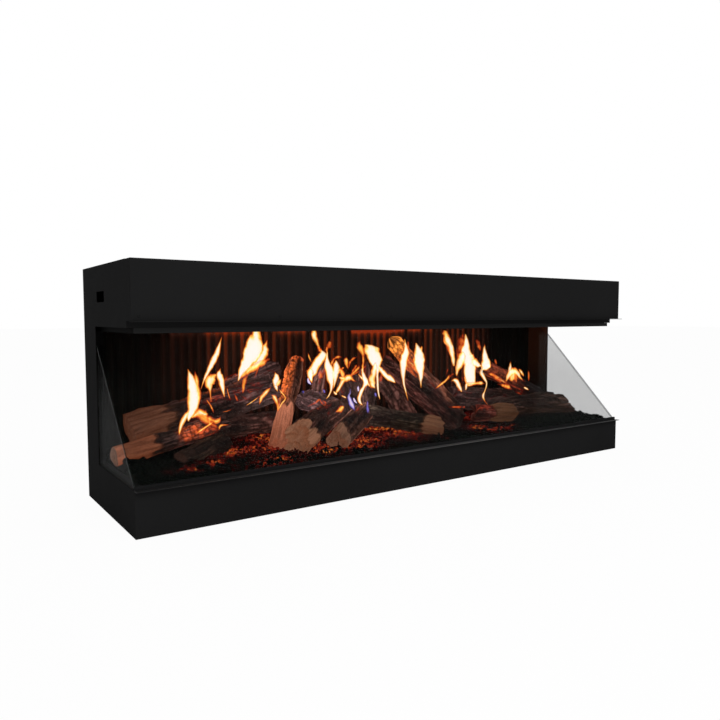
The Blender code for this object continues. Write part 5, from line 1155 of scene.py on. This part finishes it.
    (0.74, 50, ((394, 264, 5.5), (428, 261, 7.7), (463, 261, 7.4), (492, 255, 2.3))),
    (0.97, 52, ((501, 315, 27), (498, 331, 23.3), (496, 351, 17.3), (501, 370, 12.7), (511, 389, 8.3),
        (528, 407, 2.1))),
    (0.96, -2, ((438, 322, 11.6), (425, 304, 10.7), (433, 285, 6.4), (444, 268, 4.1), (441, 251, 3.1),
        (433, 235, 3.5), (425, 219, 6.6), (431, 202, 4.3), (449, 183, 1.4))),
    (0.42, 66, ((490, 379, 3.4), (492, 398, 8.7), (500, 418, 8.1), (511, 434, 2.9))),
    (0.36, 70, ((573, 326, 2.1), (566, 339, 4.8), (561, 352, 1.7))),
    (0.97, 58, ((633, 293, 10.5), (637, 315, 6.7), (641, 340, 1.7))),
    (0.84, 56, ((609, 259, 3.8), (625, 281, 12.8), (649, 297, 14.2), (673, 289, 12.4), (689, 271, 7.9),
        (719, 249, 2.4))),
    (0.74, 57, ((643, 257, 7.3), (647, 275, 22.7), (656, 295, 20.5), (659, 308, 2.8))),
    (0.62, 55, ((668, 250, 4), (666, 268, 10.7), (670, 283, 8.5))),
    (0.8, 60, ((718, 273, 3.2), (704, 289, 7.2), (685, 307, 3.1))),
    (0.52, 60, ((748, 250, 2.4), (748, 275, 4.7), (745, 304, 2.4))),
    (0.6, 50, ((500, 295, 2.7), (526, 289, 6), (550, 276, 8), (572, 264, 8.5), (591, 259, 2))),
    (0.6, 46, ((553, 252, 2.3), (584, 244, 6.9), (611, 237, 9.1), (629, 229, 3))),
    (0.98, 46, ((704, 229, 2.9), (719, 223, 4.7), (732, 217, 1.8))),
    (0.8, 30, ((218, 257, 2.1), (244, 271, 5.3), (267, 283, 4.6), (281, 296, 4), (288, 307, 1.9))),
    (0.58, 30, ((276, 284, 2.7), (293, 300, 3.7), (315, 308, 1.6))),
    (0.42, 60, ((292, 298, 1.9), (302, 315, 2.8), (312, 328, 1.9))),
    (0.92, 30, ((345, 237, 3.2), (334, 255, 9.6), (324, 273, 10.8), (309, 282, 7.9), (295, 280, 3.3))),
    (0.95, 30, ((366, 242, 3), (369, 257, 6.9), (373, 270, 4))),
    (0.62, 32, ((373, 269, 2.9), (366, 283, 6.2), (362, 298, 2.9))),
    (0.5, 34, ((357, 275, 2.5), (353, 287, 3.8), (350, 293, 1.5))),
    (0.46, -92, ((176, 206, 1.7), (207, 204, 3.4), (241, 201, 3.8), (268, 196, 1.8))),
    (0.86, -12, ((-743, 194, 1.8), (-739, 213, 5.1), (-730, 234, 7.3), (-719, 251, 6.5), (-710, 262, 2.9))),
    (1, 28, ((-218, 275, 2.2), (-211, 268, 4.6), (-206, 264, 2.4))),
    (0.58, 30, ((-139, 324, 2.1), (-124, 330, 2.9), (-105, 338, 2.9))),
    (0.78, 28, ((-194, 319, 2.7), (-180, 315, 7.9), (-165, 312, 7.3))),
    (0.7, 30, ((-196, 338, 3.7), (-185, 342, 7.9), (-175, 326, 6.5), (-172, 318, 3.1))),
)


def along_curve(points, count):
    """A smooth curve through the points, read at count even steps. Between each two it is the cubic whose
    slope at a point is half the way from the point before it to the point after it."""
    padded = np.concatenate([2 * points[:1] - points[1:2], points, 2 * points[-1:] - points[-2:-1]])
    step = np.linspace(0, len(points) - 1, count)
    first = np.minimum(step.astype(int), len(points) - 2)
    share = (step - first)[:, None]
    a, b, c, d = (padded[first + n] for n in range(4))
    return b + 0.5 * share * (c - a + share * (2 * a - 5 * b + 4 * c - d + share * (3 * (b - c) + d - a)))


def tongue_surface(heat, foot, points, seed):
    """A flat tongue: rings round a smooth curve, as wide as its half widths and a quarter as thick. The
    curve rises upright from its foot and bends over to follow the glass: its Y is the smooth maximum of the
    foot and of the glass plane. A slow noise bends it sideways and ragged noise moves its edges."""
    curve = along_curve(np.array(points, float) / 1000, FLAME_ROWS)
    x, z, half = curve[:, 0], curve[:, 1], np.maximum(curve[:, 2], LEAST_HALF_WIDTH)
    rise = np.linspace(0, 1, FLAME_ROWS)
    wander = np.stack([rise * 5, rise * 0, rise * 0], -1) + seed * 3.7
    x = x + half * rough(wander * 1.5, seed) * 0.35
    half = half * (1.12 + 0.26 * rough(wander * 2.0, seed + 1, 2))
    upright, leaning = foot / 1000, z - GLASS_TILT + FLAME_CLEARANCE
    y = 0.5 * (upright + leaning + np.sqrt((upright - leaning) ** 2 + FLAME_BEND**2))
    spine = np.stack([x, y, z], -1)
    tangent = np.gradient(spine, axis=0)
    tangent /= np.linalg.norm(tangent, axis=1, keepdims=True)
    slope = np.gradient(y) / (np.abs(np.gradient(z)) + 1e-5)
    facing = np.stack([np.zeros_like(x), np.full_like(x, -1.0), slope], -1)
    facing /= np.linalg.norm(facing, axis=1, keepdims=True)
    aside = np.cross(tangent, facing)
    aside /= np.linalg.norm(aside, axis=1, keepdims=True)
    facing = np.cross(aside, tangent)
    angle = np.arange(FLAME_AROUND) / FLAME_AROUND * 2 * np.pi
    across, out = np.cos(angle)[None, :, None], np.sin(angle)[None, :, None]
    thick = np.minimum(half * 0.25, MOST_THICKNESS)[:, None, None]
    rings = spine[:, None] + aside[:, None] * half[:, None, None] * across + facing[:, None] * thick * out
    ends = np.stack([spine[0] - tangent[0] * half[0] * 0.4, spine[-1] + tangent[-1] * half[-1] * 0.4])
    inward = np.broadcast_to(1 - np.abs(across[..., 0]), rings.shape[:2])
    core = 0.45 * inward + 0.55 * np.clip(inward * half[:, None] / FULL_HALF_WIDTH, 0, 1)
    lift = np.broadcast_to(rise[:, None], rings.shape[:2])
    warmth = np.full(rings.shape[:2], heat)
    cover = np.stack([core, lift, np.abs(warmth), (warmth < 0) * 1.0], -1).reshape(-1, 4)
    tips = np.array([[0.0, 0.0, abs(heat), heat < 0], [0.0, 1.0, abs(heat), heat < 0]], float)
    return np.concatenate([rings.reshape(-1, 3), ends]), np.concatenate([cover, tips])


firelight, shader, place = new_finish(
    "firelight", Base_Color=(0.0, 0.0, 0.0, 1), Roughness=1.0, Specular_IOR_Level=0.0, Emission_Strength=3.2
)
tongue = painted(place, "tongue")
core, lift, warmth = tongue.part(0), tongue.part(1), tongue.part(2)
blueness = place.node("ShaderNodeAttribute", {}, "Alpha", attribute_name="tongue")
streak = place.noise(55.0, 3.0, (1.0, 1.0, 0.30), 0.6)
lick = place.noise(140.0, 2.0, (1.0, 1.0, 0.35), 0.3)
frayed = core + (lick - 0.5) * 0.34
body = core**1.2 * warmth**2.3 * 1.10
body = body + (streak - 0.5) * 0.85 + (lick - 0.5) * 0.25
flame_heat = body - lift.within(0.66, 1.0) * 0.36 - lift.within(0.14, 0.0) * 0.16
colours = flame_heat.ramp(
    (0.0, (0.36, 0.016, 0.002)),
    (0.14, (0.60, 0.062, 0.012)),
    (0.27, (0.78, 0.20, 0.026)),
    (0.42, (0.93, 0.46, 0.055)),
    (0.55, (1.0, 0.77, 0.24)),
    (0.66, (0.94, 0.86, 0.68)),
    (0.95, (0.93, 0.87, 0.80)),
)
blues = flame_heat.ramp(
    (0.0, (0.016, 0.014, 0.09)),
    (0.25, (0.09, 0.085, 0.42)),
    (0.55, (0.34, 0.26, 0.78)),
    (0.9, (0.95, 0.78, 0.98)),
)

feed(
    shader,
    Emission_Color=blueness.mix(colours, blues),
    Alpha=frayed.within(0.02, 0.26) * (flame_heat + 0.10).within(0.0, 0.42) * (0.36 - blueness * 0.10),
)

tongue_faces = closed_skin(FLAME_ROWS, FLAME_AROUND)
points, faces, covers = [], [], []
for seed, (heat, foot, spine) in enumerate(TONGUES):
    tongue_points, cover = tongue_surface(heat, foot, spine, float(seed))
    start = seed * len(tongue_points)
    faces += [[start + corner for corner in face] for face in tongue_faces]
    points.append(tongue_points)
    covers.append(cover)
flames = new_piece("fire_image", np.concatenate(points), faces, firelight)
paint(flames, tongue=np.concatenate(covers))


# The parts behind the sheet steel. The displays lie face down over the glass, glossy black around a picture
# area that glows warm, and two zinc-plated straps hold them. Plated sheet also folds the heater and supply.

DISPLAY_FACE = 0.4925
display, shader, place = new_finish(
    "display_face", Roughness=0.18, Specular_IOR_Level=0.4, Emission_Strength=0.4
)
fire_bands = place.noise(9.0, 4.0, (1.0, 0.35, 1.0), 0.5)
picture = place.part(2).within(DISPLAY_FACE, DISPLAY_FACE - 0.0004) * place.part(1).within(-0.17, -0.15)
feed(
    shader,
    Base_Color=place.noise(6.0, 2.0).mix((0.009, 0.009, 0.011), (0.013, 0.013, 0.015)),
    Emission_Color=(picture * (fire_bands - 0.42) * 3.0).ramp(
        (0.0, (0.0, 0.0, 0.0)), (0.35, (0.30, 0.03, 0.004)), (0.7, (0.85, 0.30, 0.04)), (1.0, (1.0, 0.85, 0.5))
    ),
)
dress(["left_display", "centre_display", "right_display"], display)


def metal(name, dark, light, scale, stretch, roughness, metallic=1.0):
    """Bare metal whose tone and gloss follow one noise, drawn out along the way it was rolled or turned."""
    material, shader, place = new_finish(name, Metallic=metallic)
    tone = place.noise(scale, 3.0, stretch)
    feed(
        shader,
        Base_Color=tone.within(0.3, 0.7).mix(dark, light),
        Roughness=roughness + 0.16 * tone,
        Normal=bump(tone, 0.15, 0.0004),
    )
    return material


zinc = metal("zinc_plated_sheet", (0.38, 0.39, 0.41), (0.52, 0.53, 0.54), 45.0, (1.0, 1.0, 1.0), 0.30, 0.9)
dress(["front_display_strap", "rear_display_strap", "heater_housing", "power_supply"], zinc)


# The fan heater: a drum of curved aluminium blades on a small motor, a brass bush at its far end, and
# ceramic heating stones with aluminium fins in front of the outlet.

HEATER_FIN_PITCH = 0.0042
rolled = metal("rolled_aluminium", (0.66, 0.67, 0.68), (0.80, 0.81, 0.82), 60.0, (0.05, 1.0, 1.0), 0.28)
oiled = metal("oiled_laminations", (0.13, 0.13, 0.14), (0.26, 0.26, 0.27), 700.0, (1.0, 0.02, 0.02), 0.35)
brass = metal("turned_brass", (0.62, 0.44, 0.19), (0.78, 0.59, 0.29), 500.0, (1.0, 0.05, 0.05), 0.22)
dress(["blower_impeller"], rolled)
dress(["blower_motor"], oiled)
dress(["blower_bearing"], brass)

stone, shader, place = new_finish("finned_heating_stone", Roughness=0.6, Specular_IOR_Level=0.3)
fin_phase = place.part(0) * (2 * np.pi / HEATER_FIN_PITCH)
fin = fin_phase.maths("COSINE", fin_phase).within(0.2, 0.8)
fired = place.noise(120.0, 3.0).mix((0.50, 0.48, 0.45), (0.66, 0.64, 0.60))
feed(
    shader,
    Base_Color=fin.mix(fired, (0.72, 0.73, 0.74)),
    Metallic=fin * 0.8,
    Normal=bump(fin, 0.6, 0.0006),
)
dress(["heating_element"], stone)


# Moulded black plastic: the cooling fans, the speaker's basket, the mains inlet and the mains switch.

moulding, shader, place = new_finish("moulded_black_plastic", Specular_IOR_Level=0.35)
skin = place.noise(1400.0, 2.0)
feed(
    shader,
    Base_Color=place.noise(40.0, 2.0).mix(0.017, (0.023, 0.023, 0.024)),
    Roughness=0.42 + 0.2 * skin,
    Normal=bump(skin, 0.25, 0.0002),
)
MOULDED_NODES = (
    "left_fan_frame left_fan_rotor right_fan_frame right_fan_rotor "
    "speaker mains_inlet switch_body switch_rocker"
).split()
dress(MOULDED_NODES, moulding)


# The ember lights: amber lamps on two circuit boards under a translucent amber strip. The control board has
# the same green solder mask over copper tracks.

amber, shader, place = new_finish(
    "amber_diffuser", Roughness=0.55, Specular_IOR_Level=0.3, Emission_Strength=0.6
)
cloudy = place.noise(25.0, 3.0)
feed(
    shader,
    Base_Color=cloudy.mix((0.70, 0.27, 0.08), (0.86, 0.40, 0.15)),
    Emission_Color=cloudy.within(0.35, 0.65).mix((0.25, 0.03, 0.004), (0.95, 0.26, 0.03)),
)
dress(["ember_diffuser"], amber)

board_green, shader, place = new_finish("green_solder_mask", Roughness=0.35, Specular_IOR_Level=0.45)
greens = {"Color1": (0.02, 0.15, 0.06, 1), "Color2": (0.022, 0.18, 0.07, 1), "Mortar": (0.05, 0.26, 0.11, 1)}
tracks = place.node("ShaderNodeTexBrick", {"Vector": place, "Scale": 60.0, "Mortar Size": 0.02, **greens})
pads = place.node("ShaderNodeTexVoronoi", {"Vector": place, "Scale": 160.0}).within(0.22, 0.16)
feed(shader, Base_Color=pads.mix(tracks, (0.55, 0.50, 0.36)), Metallic=pads * 0.8)
dress(["left_ember_light", "right_ember_light", "control_board"], board_green)
